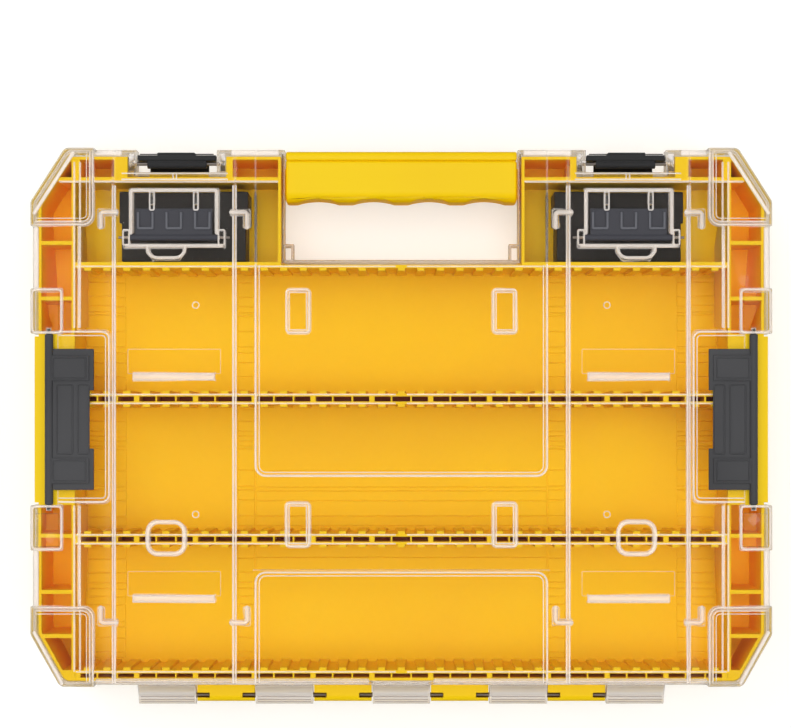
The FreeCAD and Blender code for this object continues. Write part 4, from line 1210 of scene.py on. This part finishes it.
# The raised tab on each front latch, where a thumb pulls it.
tabShape = {
    "low": (0.1228, -0.1637, 0.0655),
    "high": (0.1452, -0.1615, 0.0738),
    "edgeRound": 0.0005,
    "steps": 3,
}
tab = blocks(
    "latchTabRight",
    [(tabShape["low"], tabShape["high"])],
    tabShape["edgeRound"],
    moulded["black"],
    "front_latch_right",
    tabShape["steps"],
)
mirrored(tab, "latchTabLeft", moulded["black"], "front_latch_left")

# The smaller mouldings, each with the width and the steps of its rounded edges, and
# its body.
smallShapes = {
    "handle_grip": (0.0016, 4, "tray"),
    "handle_cover": (0.0012, 4, "tray"),
    "socket_cover_right": (0.0006, 2, "tray"),
    "socket_cover_left": (0.0006, 2, "tray"),
    "front_latch_right": (0.0004, 2, "front_latch_right"),
    "front_latch_left": (0.0004, 2, "front_latch_left"),
    "side_latch_right": (0.0005, 2, "side_latch_right"),
    "side_latch_left": (0.0005, 2, "side_latch_left"),
    "stack_catch_right": (0.0003, 2, "stack_catch_right"),
    "stack_catch_left": (0.0003, 2, "stack_catch_left"),
}
for name, (width, steps, body) in smallShapes.items():
    words = name.split("_")
    pieceName = words[0] + "".join(word.capitalize() for word in words[1:]) + "Moulding"
    roundEdges(mouldingCopy(name, pieceName, body), width, steps)
print("small mouldings rounded")

# The photograph is taken from straight above, its top towards -Y.
viewLook = {
    "height": 1.9025,
    "lens": 139.9,
    "shiftX": -0.00733,
    "shiftY": 0.0805,
}
cameraData = bpy.data.cameras.new("camera")
cameraData.lens = viewLook["lens"]
cameraData.shift_x = viewLook["shiftX"]
cameraData.shift_y = viewLook["shiftY"]
camera = bpy.data.objects.new("camera", cameraData)
camera.location = (0, 0, viewLook["height"])
camera.rotation_euler = (0, 0, math.pi)
bpy.context.collection.objects.link(camera)
bpy.context.scene.camera = camera

# The sky lights the case mostly from straight overhead. The lid mirrors it as white,
# and as dark right above, so that it shows no glare.
roomLook = {
    "floorSize": 40,
    "floor": paint(207, 207, 207),
    "floorPale": paint(209, 209, 209),
    "floorGrain": 30,
    "floorRoughness": 0.9,
    "glow": 0.44,
    "overhead": (0.94, 0.998),
    "skyLow": 0.32,
    "skyHigh": 8.2,
    "seenHigh": 0.05,
    "wallBounces": 12,
    "lampSize": 1.0,
    "lamps": {"keyLamp": ((0.9, -1.0, 2.2), 12), "fillLamp": ((-1.1, 0.9, 2.2), 7)},
}


def floorFinish():
    mix = mixFor("floorPaper")
    grain = mix.noise(roomLook["floorGrain"], 3)
    inputs = {
        "Base Color": mix.blend(grain, roomLook["floor"], roomLook["floorPale"]),
        "Roughness": roomLook["floorRoughness"],
    }
    paper = mix.shader(inputs)
    seen = mix.ray("Is Camera Ray")
    glow = mix.add("ShaderNodeEmission", {}, {"Strength": seen * roomLook["glow"]})
    return mix.finish(mix.add("ShaderNodeAddShader", {}, {0: paper, 1: glow}))


bpy.ops.object.select_all(action="DESELECT")
bpy.ops.mesh.primitive_plane_add(size=roomLook["floorSize"])
floor = bpy.context.object
floor.name = "floor"
clothe(floor, floorFinish())


def studioSky():
    sky = Mix(bpy.data.worlds.new("studio"))
    seen = sky.ray("Is Camera Ray") + sky.ray("Is Glossy Ray")
    seen = (seen + sky.ray("Is Transmission Ray")).atMost(1.0)
    height = sky.axis("Z", sky.add("ShaderNodeTexCoord", output="Generated"))
    overhead = height.ramp(*roomLook["overhead"])
    shown = 1 - overhead * (1 - roomLook["seenHigh"])
    lit = roomLook["skyLow"] - overhead * (roomLook["skyLow"] - roomLook["skyHigh"])
    inputs = {"Color": (1, 1, 1, 1), "Strength": lit + seen * (shown - lit)}
    light = sky.add("ShaderNodeBackground", {}, inputs)
    return sky.finish(light, "ShaderNodeOutputWorld")


bpy.context.scene.world = studioSky()

for name, (place, power) in roomLook["lamps"].items():
    lampData = bpy.data.lights.new(name, "AREA")
    lampData.energy = power
    lampData.size = roomLook["lampSize"]
    lamp = bpy.data.objects.new(name, lampData)
    lamp.location = place
    lamp.rotation_euler = (-Vector(place)).to_track_quat("-Z", "Y").to_euler()
    bpy.context.collection.objects.link(lamp)
bpy.context.scene.view_settings.view_transform = "Standard"
# The light bounces often between the narrow walls before it leaves them.
bpy.context.scene.cycles.diffuse_bounces = roomLook["wallBounces"]
bpy.context.scene.cycles.max_bounces = 2 * roomLook["wallBounces"]
bpy.context.scene.cycles.transparent_max_bounces = 2 * roomLook["wallBounces"]
print("stage set")
